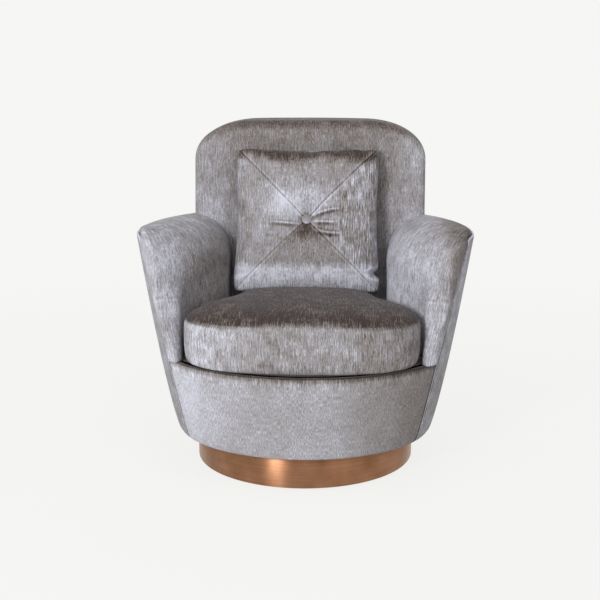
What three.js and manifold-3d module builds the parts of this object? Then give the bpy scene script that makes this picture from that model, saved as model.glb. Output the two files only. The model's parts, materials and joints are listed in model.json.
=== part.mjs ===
// A swivel tub armchair: a flared barrel body on a round copper-clad plinth, with a loose seat cushion that
// has a rounded front and a button-tufted scatter cushion that leans on the back.
//
// Lengths are in millimetres. X runs across the chair, Y from its front to its back, Z upwards. Inside this
// file the swivel's axis is the Z axis; the exported group moves the chair so that the origin is the middle
// of its footprint.

import * as THREE from "three";
import { mergeVertices } from "three/addons/utils/BufferGeometryUtils.js";
import Module from "manifold-3d";

const wasm = await Module();
wasm.setup();

// Fits and layers.
const touchGap = 0.3; // air left between two pieces that touch
const seamClearance = 0.6; // between two padded forms
const cutOverrun = 20; // how far a cutting shape runs past the material
const clothThickness = 2.5;
const boardThickness = 6; // bent plywood under the outside covers
const weltRadius = 3;

// Plinth.
const plinthRadius = 285;
const bandThickness = 1.5;
const plinthTop = 86;
const plinthBottom = 4;
const bandHem = 7; // the copper turns in under the ring by this much
const plinthRingWidth = 48;
const topBoardThickness = 18;
const glideRadius = 15;
const glideHeight = 5;
const glideClearance = 2; // to the band's hem
const glideShankRadius = 3;
const glideShankLength = 14;
const glideCount = 4;

// Swivel: two pressed plates with a ball race between them.
const swivelPlateRadius = 150;
const swivelPlateThickness = 4;
const swivelRunningGap = 7;
const raceRadius = 105;
const ballRadius = 4.8;
const ballClearance = 0.6;
const ballCount = 10;
const cageWidth = 18;
const cageThickness = 2;
const rivetRadius = 12;
const rivetHeadRadius = 17;
const rivetHeadThickness = 2.5;
const rivetClearance = 0.5;
const boltCircleRadius = 132;
const boltRadius = 4;
const boltHeadRadius = 7;
const boltHeadHeight = 3.5;
const boltLength = 16;
const boltCount = 4;

// Tub outline.
const tubBottom = 88;
const armWeltHeight = 600;
const backTop = 862;
const tubBottomHalfWidth = 330;
const tubArmHalfWidth = 432;
const tubWidestY = -20;
const tubBottomRearDepth = 340;
const tubArmRearDepth = 400;
const tubTopRearDepth = 420;
const tubBottomFrontDepth = 290;
const tubSeatFrontDepth = 302;
const flareShare = 0.78; // power of the side's flare against height
const rearRoundShare = 2.2; // superellipse power of the rear half

// Welt down the front of the arm.
const weltBottomY = -158;
const weltTopY = -105;
const weltBow = 18;

// Seat structure.
const baseBoardThickness = 18;
const dustClothThickness = 1.5;
const seatFrameTop = 284;
const seatFrameThickness = 28;
const seatFrameWidth = 52;
const apronBoardThickness = 12;
const springWireRadius = 2.2;
const springCount = 4;
const springPitch = 104;
const springAmplitude = 26;
const springBends = 7;
const deckThickness = 7;

// Arm padding.
const armWidthLow = 116; // from the widest line in to the seat, at the deck
const armWidthHigh = 130;
const armWidthRear = 227; // further in, beside the back
const armInnerRise = 210; // height over which the arm front swells inwards
const armInnerRearY = 85; // behind this the inner face runs straight back
const armEndY = 262;
const armBackDrop = 12; // from the arm's welt down to the edge of the padding behind it
const noseDepthLow = 16;
const noseDepthHigh = 78;
const noseStepLow = 6; // how far behind the welt the rolled front ends
const noseStepHigh = 32;
const noseTopSweep = 72;
const armRoundWidth = 120;
const armRoundHeight = 118;
const armCrest = 24;
const armCrestRear = 10;
const armCrestShare = 0.7; // how far across the arm its crest lies
const armPostThickness = 22;
const armPostY = -62;
const armPostCover = 24; // padding over the inner edge of the post
const armPostDrop = 40; // from the arm's welt down to the post's top
const armPostFootWidth = 28;
const armRailWidth = 26;
const armRailHeight = 40;
const armRailEndY = 150;

// Back.
const backSideWidth = 114; // from the widest line in to the back's seam
const backCornerWidth = 170;
const backCornerHeight = 104;
const backCornerShare = 2.2; // superellipse power of the top corners
const backTopThickness = 115;
const backLean = 81; // how far the inner face leans back between the deck and the top
const backWing = 52;
const backWingShare = 2.6;
const backEdgeRound = 34;
const backLumbar = 10;
const backPostInset = 86; // from the back's seam in to the post
const backPostWidth = 40;
const backPostDepth = 28;
const backPostDrop = 92; // from the back's top down to the post's
const backPostFootDepth = 120; // from the tub's rear in to the post's foot
const backPostHeadCover = 21; // from the inner face back to the post's head
const backRailHeight = 60;

// Seat cushion.
const cushionSideClearance = 4;
const cushionFrontY = -306;
const cushionMidY = -150;
const cushionFrontShare = 0.8; // power that squares the rounded front
const cushionRearGap = 10; // to the back's inner face
const cushionRearDrop = 8; // the top falls away towards the back
const cushionHeight = 153;
const cushionSeamHeight = 112;
const cushionCoverThickness = 2;
const zipLength = 300;
const zipHeight = 8;
const zipThickness = 3;

// Scatter cushion.
const scatterSide = 386;
const scatterSpreadShare = 0.045; // the foot spreads and the head narrows by this share
const scatterThickness = 112;
const scatterEdge = 7;
const scatterWaist = 13; // how far each side is drawn in at its middle
const scatterTuft = 34; // depth of the button's dimple on each face
const scatterTuftSpread = 46;
const scatterLeanShare = 0.26; // radians
const scatterRise = 155.8; // from the seat cushion's crown up to the middle
const scatterGap = 1.2; // left where it leans on the back
const scatterCoverThickness = 2;
const buttonRadius = 11.5;
const buttonThickness = 7;
const buttonRimShare = 0.3; // share of the thickness that its rim stands up
const twineRadius = 1.5;

// Small helpers.
const lerp = (a, b, t) => a + (b - a) * t;
const clamp01 = (t) => Math.min(1, Math.max(0, t));
const smooth = (t) => clamp01(t) ** 2 * (3 - 2 * clamp01(t));
const steps = (count) => Array.from({ length: count + 1 }, (_, i) => i / count);
const turns = (count) => Array.from({ length: count }, (_, i) => (i / count) * Math.PI * 2);
const signedPower = (v, power) => Math.sign(v) * Math.abs(v) ** power;

// A closed mesh from a list of points and triangles, turned so that its faces point out.
function closedGeometry(points, triangles) {
  let volume = 0;
  const cross = new THREE.Vector3();
  for (const [a, b, c] of triangles) volume += points[a].dot(cross.crossVectors(points[b], points[c]));
  const faces = volume < 0 ? triangles.map(([a, b, c]) => [a, c, b]) : triangles;
  const geometry = new THREE.BufferGeometry();
  const places = points.flatMap((p) => [p.x, p.y, p.z]);
  geometry.setAttribute("position", new THREE.Float32BufferAttribute(places, 3));
  geometry.setIndex(faces.flat());
  return geometry;
}

// A slab between two grids of points of the same size: the two faces and the four narrow sides.
function slabBetween(face, back) {
  const rows = face.length;
  const columns = face[0].length;
  const points = [...face.flat(), ...back.flat()];
  const at = (layer, i, j) => layer * rows * columns + i * columns + j;
  const triangles = [];
  const quad = (a, b, c, d) => triangles.push([a, b, c], [a, c, d]);
  for (let i = 0; i < rows - 1; i += 1) {
    for (let j = 0; j < columns - 1; j += 1) {
      quad(at(0, i, j), at(0, i + 1, j), at(0, i + 1, j + 1), at(0, i, j + 1));
      quad(at(1, i, j), at(1, i, j + 1), at(1, i + 1, j + 1), at(1, i + 1, j));
    }
  }
  for (let i = 0; i < rows - 1; i += 1) {
    quad(at(0, i, 0), at(1, i, 0), at(1, i + 1, 0), at(0, i + 1, 0));
    quad(at(0, i + 1, columns - 1), at(1, i + 1, columns - 1), at(1, i, columns - 1), at(0, i, columns - 1));
  }
  for (let j = 0; j < columns - 1; j += 1) {
    quad(at(0, 0, j + 1), at(1, 0, j + 1), at(1, 0, j), at(0, 0, j));
    quad(at(0, rows - 1, j), at(1, rows - 1, j), at(1, rows - 1, j + 1), at(0, rows - 1, j + 1));
  }
  return closedGeometry(points, triangles);
}

// A solid through closed rings of points, with its ends closed by fans to the rings' middles. Each four-sided
// facet is split along the diagonal that keeps the left side a mirror image of the right one.
function loftRings(rings) {
  const count = rings[0].length;
  const points = rings.flat();
  const triangles = [];
  for (let k = 0; k < rings.length - 1; k += 1) {
    for (let i = 0; i < count; i += 1) {
      const next = (i + 1) % count;
      const [a, b] = [k * count + i, k * count + next];
      const [c, d] = [b + count, a + count];
      if (points[a].x + points[b].x < 0) triangles.push([a, b, d], [b, c, d]);
      else triangles.push([a, b, c], [a, c, d]);
    }
  }
  const middle = (ring) => ring.reduce((sum, p) => sum.add(p), new THREE.Vector3()).divideScalar(count);
  const last = (rings.length - 1) * count;
  points.push(middle(rings[0]), middle(rings[rings.length - 1]));
  for (let i = 0; i < count; i += 1) {
    const next = (i + 1) % count;
    triangles.push([points.length - 2, next, i], [points.length - 1, last + i, last + next]);
  }
  return closedGeometry(points, triangles);
}

// The grid moved along its own surface normals towards a second grid that lies behind it.
function insetGrid(grid, depth, behind) {
  const rows = grid.length;
  const columns = grid[0].length;
  return grid.map((row, i) =>
    row.map((point, j) => {
      const alongI = grid[Math.min(i + 1, rows - 1)][j].clone().sub(grid[Math.max(i - 1, 0)][j]);
      const alongJ = row[Math.min(j + 1, columns - 1)].clone().sub(row[Math.max(j - 1, 0)]);
      const normal = alongI.cross(alongJ).normalize();
      if (normal.dot(point.clone().sub(behind[i][j])) < 0) normal.negate();
      return point.clone().addScaledVector(normal, -depth);
    }),
  );
}

// Joins and cuts.
function toSolid(geometry) {
  const bare = geometry.clone();
  for (const name of Object.keys(bare.attributes)) if (name !== "position") bare.deleteAttribute(name);
  const merged = mergeVertices(bare);
  return new wasm.Manifold(
    new wasm.Mesh({
      numProp: 3,
      vertProperties: new Float32Array(merged.attributes.position.array),
      triVerts: new Uint32Array(merged.index.array),
    }),
  );
}

function toGeometry(solid) {
  const mesh = solid.getMesh();
  const geometry = new THREE.BufferGeometry();
  geometry.setAttribute("position", new THREE.BufferAttribute(new Float32Array(mesh.vertProperties), 3));
  geometry.setIndex(new THREE.BufferAttribute(new Uint32Array(mesh.triVerts), 1));
  return geometry;
}

const cut = (geometry, ...cutters) =>
  toGeometry(cutters.reduce((solid, cutter) => solid.subtract(toSolid(cutter)), toSolid(geometry)));
const join = (geometry, ...others) =>
  toGeometry(others.reduce((solid, other) => solid.add(toSolid(other)), toSolid(geometry)));
const common = (geometry, other) => toGeometry(toSolid(geometry).intersect(toSolid(other)));

// The largest body of what a cut leaves.
function mainBody(geometry) {
  const bodies = toSolid(geometry).decompose();
  return toGeometry(bodies.reduce((most, body) => (body.volume() > most.volume() ? body : most)));
}

function boxAt(x0, x1, y0, y1, z0, z1) {
  const box = new THREE.BoxGeometry(x1 - x0, y1 - y0, z1 - z0);
  return box.translate((x0 + x1) / 2, (y0 + y1) / 2, (z0 + z1) / 2);
}

function rodAt(x, y, z0, z1, radius, sides) {
  const rod = new THREE.CylinderGeometry(radius, radius, z1 - z0, sides);
  return rod.rotateX(Math.PI / 2).translate(x, y, (z0 + z1) / 2);
}

// A body of revolution about Z from [radius, height] pairs, which start and end on the axis or close on
// themselves.
function turned(profile, sides) {
  const shape = new THREE.LatheGeometry(profile.map(([r, z]) => new THREE.Vector2(r, z)), sides);
  return shape.rotateX(Math.PI / 2);
}

// The same piece for the chair's left side.
function mirrored(geometry) {
  const copy = toGeometry(toSolid(geometry)).scale(-1, 1, 1);
  const index = copy.index.array;
  for (let i = 0; i < index.length; i += 3) [index[i + 1], index[i + 2]] = [index[i + 2], index[i + 1]];
  return copy;
}

// Tub outline. At each height it is an oval whose rear half is slightly squared, and its sides flare upwards.
const armShare = (z) => clamp01((z - tubBottom) / (armWeltHeight - tubBottom));
const tubHalfWidth = (z) => lerp(tubBottomHalfWidth, tubArmHalfWidth, armShare(z) ** flareShare);
const tubFrontDepth = (z) =>
  lerp(tubBottomFrontDepth, tubSeatFrontDepth, clamp01((z - tubBottom) / (seatFrameTop - tubBottom)));

function tubRearDepth(z) {
  if (z < armWeltHeight) return lerp(tubBottomRearDepth, tubArmRearDepth, armShare(z));
  return lerp(tubArmRearDepth, tubTopRearDepth, (z - armWeltHeight) / (backTop - armWeltHeight));
}

// The half-width of the tub at a given place from front to back, drawn in by inset.
function tubX(y, z, inset) {
  const rear = y > tubWidestY;
  const depth = (rear ? tubRearDepth(z) : tubFrontDepth(z)) - inset;
  const power = rear ? rearRoundShare : 2;
  const share = Math.min(1, Math.abs(y - tubWidestY) / depth);
  return (tubHalfWidth(z) - inset) * (1 - share ** power) ** (1 / power);
}

// The rear of the tub at a given place across it.
function tubRearY(x, z, inset) {
  const share = Math.min(1, Math.abs(x) / (tubHalfWidth(z) - inset));
  return tubWidestY + (tubRearDepth(z) - inset) * (1 - share ** rearRoundShare) ** (1 / rearRoundShare);
}

// The front of the tub at a given place across it.
function tubFrontY(x, z, inset) {
  const share = Math.min(1, Math.abs(x) / (tubHalfWidth(z) - inset));
  return tubWidestY - (tubFrontDepth(z) - inset) * Math.sqrt(1 - share ** 2);
}

// A point of the outline by its angle, from the right side (0) through the rear (a quarter turn).
function tubPoint(angle, z, inset) {
  const c = Math.cos(angle);
  const s = Math.sin(angle);
  const power = s > 0 ? 2 / rearRoundShare : 1;
  const depth = (s > 0 ? tubRearDepth(z) : tubFrontDepth(z)) - inset;
  const x = (tubHalfWidth(z) - inset) * signedPower(c, power);
  return new THREE.Vector3(x, tubWidestY + depth * signedPower(s, power), z);
}

// The whole tub as a closed solid, drawn in by inset. Every layer of the wall is cut from these, so they all
// keep the same facets and the same air between them.
const levelShares = [0, 0.03, 0.1, 0.22, 0.36, 0.5, 0.66, 0.83, 1];
const tubSides = 32;

function tubSolid(inset) {
  const levels = levelShares.map((share) => lerp(tubBottom, backTop, share));
  return loftRings(levels.map((z) => turns(tubSides).map((angle) => tubPoint(angle, z, inset))));
}

const farShare = 1.5; // cutting shapes reach this share of the tub's half-width
const far = tubArmHalfWidth * farShare;
const slice = (z0, z1) => boxAt(-far, far, -far, far, z0, z1);
const layer = (inset, thickness) => cut(tubSolid(inset), tubSolid(inset + thickness));
const tubPlate = (z0, z1, inset) => common(tubSolid(inset), slice(z0, z1));

// The welt line down the front of the arm.
function weltY(z) {
  const t = armShare(z);
  return lerp(weltBottomY, weltTopY, t) - weltBow * 4 * t * (1 - t);
}

// Heights that follow from the pieces stacked on each other.
const baseBoardBottom = tubBottom + dustClothThickness + touchGap;
const baseBoardTop = baseBoardBottom + baseBoardThickness;
const upperPlateTop = baseBoardBottom - touchGap;
const upperPlateBottom = upperPlateTop - swivelPlateThickness;
const lowerPlateTop = upperPlateBottom - swivelRunningGap;
const lowerPlateBottom = lowerPlateTop - swivelPlateThickness;
const topBoardTop = lowerPlateBottom - touchGap;
const topBoardBottom = topBoardTop - topBoardThickness;
const plinthRingBottom = glideHeight + touchGap;
const plinthInnerRadius = plinthRadius - bandThickness - touchGap;
const raceHeight = (upperPlateBottom + lowerPlateTop) / 2;
const boardInset = clothThickness + touchGap;
const frameInset = boardInset + boardThickness + touchGap;
const seatFrameBottom = seatFrameTop - seatFrameThickness;
const springHeight = seatFrameTop + touchGap + springWireRadius;
const deckBottom = springHeight + springWireRadius + touchGap;
const deckTop = deckBottom + deckThickness;
const cushionBottom = deckTop + touchGap;
const padFoot = deckTop + touchGap;
const backRear = tubWidestY + tubTopRearDepth;
const backInnerHighY = backRear - backTopThickness;
const backInnerLowY = backInnerHighY - backLean;
const backHalfWidth = tubArmHalfWidth - backSideWidth;
const backPostX = backHalfWidth - backPostInset;
const backPostTop = backTop - backPostDrop;
const backPostFootY = tubWidestY + tubBottomRearDepth - backPostFootDepth;
const backPostHeadY = backInnerHighY + backPostHeadCover;
const armPostTop = armWeltHeight - armPostDrop;

// Arm padding. Its plan at each height runs from the welt round the rolled front, and back along the inner
// face.
const noseShare = 0.42; // share of the grid that goes round the front
const nosePowerShare = 0.87;
const noseSweepShare = 1.5;
const armInnerFrontHigh = tubArmHalfWidth - armWidthHigh;
const armInnerRear = tubArmHalfWidth - armWidthRear;
const armFrontSwell = (z) => smooth((z - padFoot) / armInnerRise);
const noseEndY = (z) => weltY(z) + lerp(noseStepLow, noseStepHigh, armFrontSwell(z));
const armInnerFrontLow = tubArmHalfWidth - armWidthLow;
const armInnerFront = (z) => lerp(armInnerFrontLow, armInnerFrontHigh, armFrontSwell(z));

// The inner face sweeps in quickly behind the rolled front, and then runs nearly straight back.
function armInnerX(y, z) {
  const t = clamp01((y - noseEndY(z)) / (armInnerRearY - noseEndY(z)));
  return lerp(armInnerFront(z), armInnerRear, Math.sin((t * Math.PI) / 2));
}

function armPlan(u, z) {
  if (u > noseShare) {
    const y = lerp(noseEndY(z), armEndY, (u - noseShare) / (1 - noseShare));
    return new THREE.Vector3(armInnerX(y, z), y, z);
  }
  const startY = weltY(z) - weltRadius - touchGap;
  const start = new THREE.Vector3(tubX(startY, z, 0), startY, z);
  const end = new THREE.Vector3(armInnerFront(z), noseEndY(z), z);
  const angle = (Math.PI * u) / noseShare;
  const depth = lerp(noseDepthLow, noseDepthHigh, smooth((z - padFoot) / (armWeltHeight - padFoot)));
  const across = signedPower(Math.cos(angle), nosePowerShare);
  const point = start.clone().add(end).multiplyScalar(0.5);
  point.addScaledVector(start.sub(end), across / 2);
  point.y -= depth * Math.abs(Math.sin(angle)) ** nosePowerShare;
  return point;
}

function armOuterY(u, z) {
  const startY = weltY(z) - weltRadius - touchGap;
  const sweptY = startY + noseTopSweep;
  if (u > noseShare) return lerp(sweptY, armEndY, (u - noseShare) / (1 - noseShare));
  return lerp(startY, sweptY, (u / noseShare) ** noseSweepShare);
}

const armColumns = 10;
const wallRows = 3;
const roundRows = 4;
const fallRows = 2;
const weltInset = 2 * weltRadius + touchGap;

function armTopEdge(u) {
  const y = armOuterY(u, armWeltHeight);
  return new THREE.Vector3(tubX(y, armWeltHeight, weltInset), y, armWeltHeight);
}

function armColumn(u) {
  const edge = armTopEdge(u);
  const reach = armPlan(u, armWeltHeight - armRoundHeight / 2).distanceTo(edge);
  const grown = clamp01(reach / armRoundWidth);
  const crest = lerp(armCrest, armCrestRear, clamp01((u - noseShare) / (1 - noseShare))) * grown;
  const rise = armRoundHeight * grown;
  const wallTop = armWeltHeight + crest - rise;
  const foot = armPlan(u, wallTop);
  const over = (share, z) => foot.clone().lerp(edge, share).setZ(z);
  const wall = steps(wallRows).map((v) => armPlan(u, lerp(padFoot, wallTop, v)));
  const rounding = steps(roundRows).slice(1).map((v) => {
    const angle = (v * Math.PI) / 2;
    return over(armCrestShare * (1 - Math.cos(angle)), wallTop + rise * Math.sin(angle));
  });
  const fall = steps(fallRows).slice(1).map((v) => {
    const angle = (v * Math.PI) / 2;
    const share = armCrestShare + (1 - armCrestShare) * Math.sin(angle);
    return over(share, armWeltHeight + crest * Math.cos(angle));
  });
  return [...wall, ...rounding, ...fall];
}

const armFace = steps(armColumns).map(armColumn);
const armLast = wallRows + roundRows + fallRows;
const armBack = steps(armColumns).map((u) =>
  steps(armLast).map((v) => {
    const z = lerp(padFoot, armWeltHeight - armBackDrop, v);
    const y = armOuterY(u, z);
    return new THREE.Vector3(tubX(y, z, boardInset), y, z);
  }),
);

// Back padding. Its half-width follows the seam between the back and the arms, and its top corners are round.
const seamX = (z) => (backHalfWidth * tubHalfWidth(z)) / tubArmHalfWidth;

function backHalf(z, inset) {
  const rise = clamp01((z - (backTop - backCornerHeight)) / (backCornerHeight - inset));
  const across = (1 - rise ** backCornerShare) ** (1 / backCornerShare);
  return seamX(z) - inset - (backCornerWidth - inset) * (1 - across);
}

// The distance to the edge near a top corner, measured along the line from the corner's middle.
function backEdgeDistance(x, z, inset) {
  const cornerX = Math.max(0, Math.abs(x) - (seamX(z) - backCornerWidth));
  const cornerZ = Math.max(0, z - (backTop - backCornerHeight));
  const shareX = cornerX / (backCornerWidth - inset);
  const shareZ = cornerZ / (backCornerHeight - inset);
  const reach = (shareX ** backCornerShare + shareZ ** backCornerShare) ** (1 / backCornerShare);
  return reach > 0 ? Math.hypot(cornerX, cornerZ) * (1 / reach - 1) : backEdgeRound;
}

function backFaceY(x, z, inset) {
  const lean = (z - deckTop) / (backTop - deckTop);
  const spread = Math.min(1, Math.abs(x) / backHalfWidth);
  const bulge = backLumbar * Math.cos((spread * Math.PI) / 2);
  const wing = backWing * spread ** backWingShare;
  const plain = lerp(backInnerLowY, backInnerHighY, lean) - wing - bulge + inset;
  const near = clamp01(1 - backEdgeDistance(x, z, inset) / backEdgeRound);
  return plain + backEdgeRound * (1 - Math.sqrt(1 - near ** 2));
}

const backAcrossShares = [0, 0.35, 0.65, 0.85, 0.95, 1];
const backAcross = [...backAcrossShares.slice(1).map((s) => -s).reverse(), ...backAcrossShares];
const sideShares = [0, 0.05, 0.2, 0.42, 0.7, 1];
const sideLevels = sideShares.map((share) => lerp(tubBottom - cutOverrun, armWeltHeight, share));
const backTopShares = [0, 0.3, 0.55, 0.76, 0.92, 1];

function backHeights(inset) {
  const corner = backTop - backCornerHeight;
  return [...sideLevels, ...backTopShares.map((share) => lerp(corner, backTop - inset, share))];
}

// The back's padded form, which runs on far behind and below: what it makes is cut to length.
function backForm(inset) {
  const row = (z, place) => backAcross.map((share) => place(share * backHalf(z, inset), z));
  const grid = (place) => backHeights(inset).map((z) => row(z, place));
  return slabBetween(
    grid((x, z) => new THREE.Vector3(x, backFaceY(x, z, inset), z)),
    grid((x, z) => new THREE.Vector3(x, far, z)),
  );
}

// Three parts of the tub: between the back's two seams, beyond the seam on one side and behind the welt, and in
// front of both welts.
function prism(levels, cornersAt) {
  return loftRings(levels.map((z) => cornersAt(z).map(([x, y]) => new THREE.Vector3(x, y, z))));
}

function backZone(inset) {
  return prism(backHeights(inset), (z) => {
    const half = backHalf(z, inset);
    return [[-half, tubWidestY], [half, tubWidestY], [half, far], [-half, far]];
  });
}

function armZone(grow) {
  return prism(sideLevels, (z) => {
    const x = seamX(z) + touchGap - grow;
    const y = weltY(z) + weltRadius + touchGap - grow;
    return [[x, y], [far, y], [far, far], [x, far]];
  });
}

function apronZone() {
  return prism(sideLevels, (z) => {
    const y = weltY(z) - weltRadius - touchGap;
    return [[-far, -far], [far, -far], [far, y], [-far, y]];
  });
}

// Materials.
const finish = (color, roughness, metalness = 0) =>
  new THREE.MeshStandardMaterial({ color, roughness, metalness });
const velvet = finish(0x9b979c, 0.9);
const copper = finish(0xb07a58, 0.32, 1);
const steel = finish(0x9a9da0, 0.4, 1);
const plywood = finish(0xc9a878, 0.7);
const timber = finish(0xb9915f, 0.7);
const foamFinish = finish(0xe6dcb8, 0.95);
const blackCloth = finish(0x1d1d1f, 0.95);
const nylon = finish(0x2b2b2d, 0.5);

const chair = new THREE.Group();

function addPiece(name, geometry, material) {
  const mesh = new THREE.Mesh(geometry, material);
  mesh.name = name;
  chair.add(mesh);
  return mesh;
}

function addPair(name, geometry, material) {
  addPiece(`${name}_right`, geometry, material);
  addPiece(`${name}_left`, mirrored(geometry), material);
}

// Plinth: a copper band round a ring and a top board, on four glides.
const roundSides = 36;
const discSides = 24;
const glideSides = 14;
const shankSides = 8;
const headSides = 6;

function ringProfile(inner, outer, z0, z1) {
  return [[inner, z0], [outer, z0], [outer, z1], [inner, z1], [inner, z0]];
}

const bandInner = plinthRadius - bandThickness;
const hemTop = plinthBottom + bandThickness;
addPiece(
  "plinth_band",
  turned(
    [
      [bandInner - bandHem, plinthBottom],
      [plinthRadius, plinthBottom],
      [plinthRadius, plinthTop],
      [bandInner, plinthTop],
      [bandInner, hemTop],
      [bandInner - bandHem, hemTop],
      [bandInner - bandHem, plinthBottom],
    ],
    roundSides,
  ),
  copper,
);

const glideAngles = turns(glideCount).map((angle) => angle + Math.PI / 4);
const circlePlaces = (angles, radius) => angles.map((a) => [radius * Math.cos(a), radius * Math.sin(a)]);
const glidePlaces = circlePlaces(glideAngles, bandInner - bandHem - glideRadius - glideClearance);
const ringBottom = Math.max(plinthRingBottom, hemTop + touchGap);
const ringTop = topBoardBottom - touchGap;
const shankTop = ringBottom + glideShankLength;
const glideHoles = glidePlaces.map(([x, y]) =>
  rodAt(x, y, ringBottom - cutOverrun, shankTop, glideShankRadius + touchGap, shankSides),
);
const ringInner = plinthInnerRadius - plinthRingWidth;
addPiece(
  "plinth_ring",
  cut(turned(ringProfile(ringInner, plinthInnerRadius, ringBottom, ringTop), roundSides), ...glideHoles),
  timber,
);

glidePlaces.forEach(([x, y], i) => {
  const foot = rodAt(x, y, 0, ringBottom - touchGap, glideRadius, glideSides);
  const shank = rodAt(x, y, glideHeight / 2, shankTop - touchGap, glideShankRadius, shankSides);
  addPiece(`glide_${i + 1}`, join(foot, shank), nylon);
});

const lowerBoltAngles = turns(boltCount).map((angle) => angle + Math.PI / boltCount);
const lowerBoltPlaces = circlePlaces(lowerBoltAngles, boltCircleRadius);
const upperBoltPlaces = circlePlaces(turns(boltCount), boltCircleRadius);
const lowerBoltFoot = lowerPlateTop - boltLength;
const upperBoltTop = baseBoardTop + touchGap;
const upperBoltFoot = upperPlateBottom + touchGap * 2;
const boltHole = ([x, y], z0, z1) => rodAt(x, y, z0, z1, boltRadius + touchGap, shankSides);
const rivetPocketBottom = topBoardTop - rivetHeadThickness - 2 * touchGap;
const rivetPocketRadius = rivetHeadRadius + touchGap * 3;
const rivetPocket = rodAt(0, 0, rivetPocketBottom, topBoardTop + cutOverrun, rivetPocketRadius, discSides);
const boardProfile = ringProfile(0, plinthInnerRadius, topBoardBottom, topBoardTop).slice(0, -1);
addPiece(
  "plinth_top_board",
  cut(
    turned(boardProfile, roundSides),
    rivetPocket,
    ...lowerBoltPlaces.map((place) => boltHole(place, lowerBoltFoot - touchGap, topBoardTop + cutOverrun)),
  ),
  plywood,
);

// Swivel. Each plate has a round groove that the balls run in.
const grooveRadius = ballRadius + ballClearance;
const grooveHalf = Math.sqrt(grooveRadius ** 2 - (swivelRunningGap / 2) ** 2);
const grooveDip = (offset) => Math.sqrt(grooveRadius ** 2 - offset ** 2) - swivelRunningGap / 2;
const grooveSteps = 3;

function swivelPlate(bore, inner, outer) {
  const direction = Math.sign(outer - inner);
  const groove = steps(grooveSteps).map((t) => {
    const offset = lerp(-grooveHalf, grooveHalf, t);
    return [raceRadius + offset, inner + direction * Math.max(0, grooveDip(offset))];
  });
  const rim = [[swivelPlateRadius, inner], [swivelPlateRadius, outer]];
  const profile = [[bore, inner], ...groove, ...rim, [bore, outer], [bore, inner]];
  return turned(direction > 0 ? profile : profile.reverse(), roundSides);
}

const plateHole = (place) => boltHole(place, lowerPlateBottom - cutOverrun, upperPlateTop + cutOverrun);
const drilled = (plate, places) => cut(plate, ...places.map(plateHole));
const lowerPlate = swivelPlate(rivetRadius + touchGap, lowerPlateTop, lowerPlateBottom);
const upperPlate = swivelPlate(rivetRadius + rivetClearance, upperPlateBottom, upperPlateTop);
addPiece("swivel_lower_plate", drilled(lowerPlate, lowerBoltPlaces), steel);
addPiece("swivel_upper_plate", drilled(upperPlate, upperBoltPlaces), steel);

const [cageInner, cageOuter] = [raceRadius - cageWidth / 2, raceRadius + cageWidth / 2];
const [cageBottom, cageTop] = [raceHeight - cageThickness / 2, raceHeight + cageThickness / 2];
const cageRing = turned(ringProfile(cageInner, cageOuter, cageBottom, cageTop), discSides);
const ballSides = 6;
const ballBands = 4;
const balls = circlePlaces(turns(ballCount), raceRadius).map(([x, y]) =>
  new THREE.SphereGeometry(ballRadius, ballSides, ballBands).translate(x, y, raceHeight),
);
addPiece("ball_cage", join(cageRing, ...balls), steel);

const rivetFoot = lowerPlateBottom - touchGap - rivetHeadThickness;
const rivetTop = upperPlateTop + rivetClearance + rivetHeadThickness;
addPiece(
  "pivot_rivet",
  turned(
    [
      [0, rivetFoot],
      [rivetHeadRadius, rivetFoot],
      [rivetHeadRadius, rivetFoot + rivetHeadThickness],
      [rivetRadius, rivetFoot + rivetHeadThickness],
      [rivetRadius, rivetTop - rivetHeadThickness],
      [rivetHeadRadius, rivetTop - rivetHeadThickness],
      [rivetHeadRadius, rivetTop],
      [0, rivetTop],
    ],
    discSides,
  ),
  steel,
);

function bolt([x, y], foot, seat) {
  const head = rodAt(x, y, seat, seat + boltHeadHeight, boltHeadRadius, headSides);
  return join(head, rodAt(x, y, foot, seat + boltHeadHeight / 2, boltRadius, shankSides));
}

lowerBoltPlaces.forEach((place, i) => {
  addPiece(`lower_bolt_${i + 1}`, bolt(place, lowerBoltFoot, lowerPlateTop + touchGap), steel);
});
upperBoltPlaces.forEach((place, i) => {
  addPiece(`upper_bolt_${i + 1}`, bolt(place, upperBoltFoot, upperBoltTop), steel);
});

// Frame: arm posts, back posts, seat frame and rails.
const postFoot = baseBoardTop + touchGap;
const postSteps = 6;

function armPost(grow) {
  const y0 = armPostY - armPostThickness / 2 - grow;
  const y1 = armPostY + armPostThickness / 2 + grow;
  const wall = (z) => tubX(y0, z, frameInset);
  const foot = (z) => wall(z) - armPostFootWidth;
  const head = (z) => Math.min(armInnerX(armPostY, z) + armPostCover, foot(z));
  const inner = (z) => lerp(foot(z), head(z), armFrontSwell(z)) - grow;
  const grid = (y) =>
    steps(postSteps).map((v) => {
      const z = lerp(postFoot - grow, armPostTop + grow, v);
      return [new THREE.Vector3(inner(z), y, z), new THREE.Vector3(far, y, z)];
    });
  return slabBetween(grid(y0), grid(y1));
}

function backPost(grow) {
  const corner = (x, y, z) => new THREE.Vector3(x, y, z);
  const ring = (y, z) => {
    const x0 = backPostX - backPostWidth / 2 - grow;
    const x1 = backPostX + backPostWidth / 2 + grow;
    const y0 = y - backPostDepth / 2 - grow;
    const y1 = y + backPostDepth / 2 + grow;
    return [corner(x0, y0, z), corner(x1, y0, z), corner(x1, y1, z), corner(x0, y1, z)];
  };
  return loftRings([ring(backPostFootY, postFoot - grow), ring(backPostHeadY, backPostTop + grow)]);
}

function armRail(grow) {
  const y0 = armPostY + armPostThickness / 2 + touchGap - grow;
  const low = armPostTop - armRailHeight - grow;
  const inner = tubSolid(frameInset + armRailWidth + grow);
  return cut(boxAt(0, far, y0, armRailEndY + grow, low, armPostTop + grow), inner);
}

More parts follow.
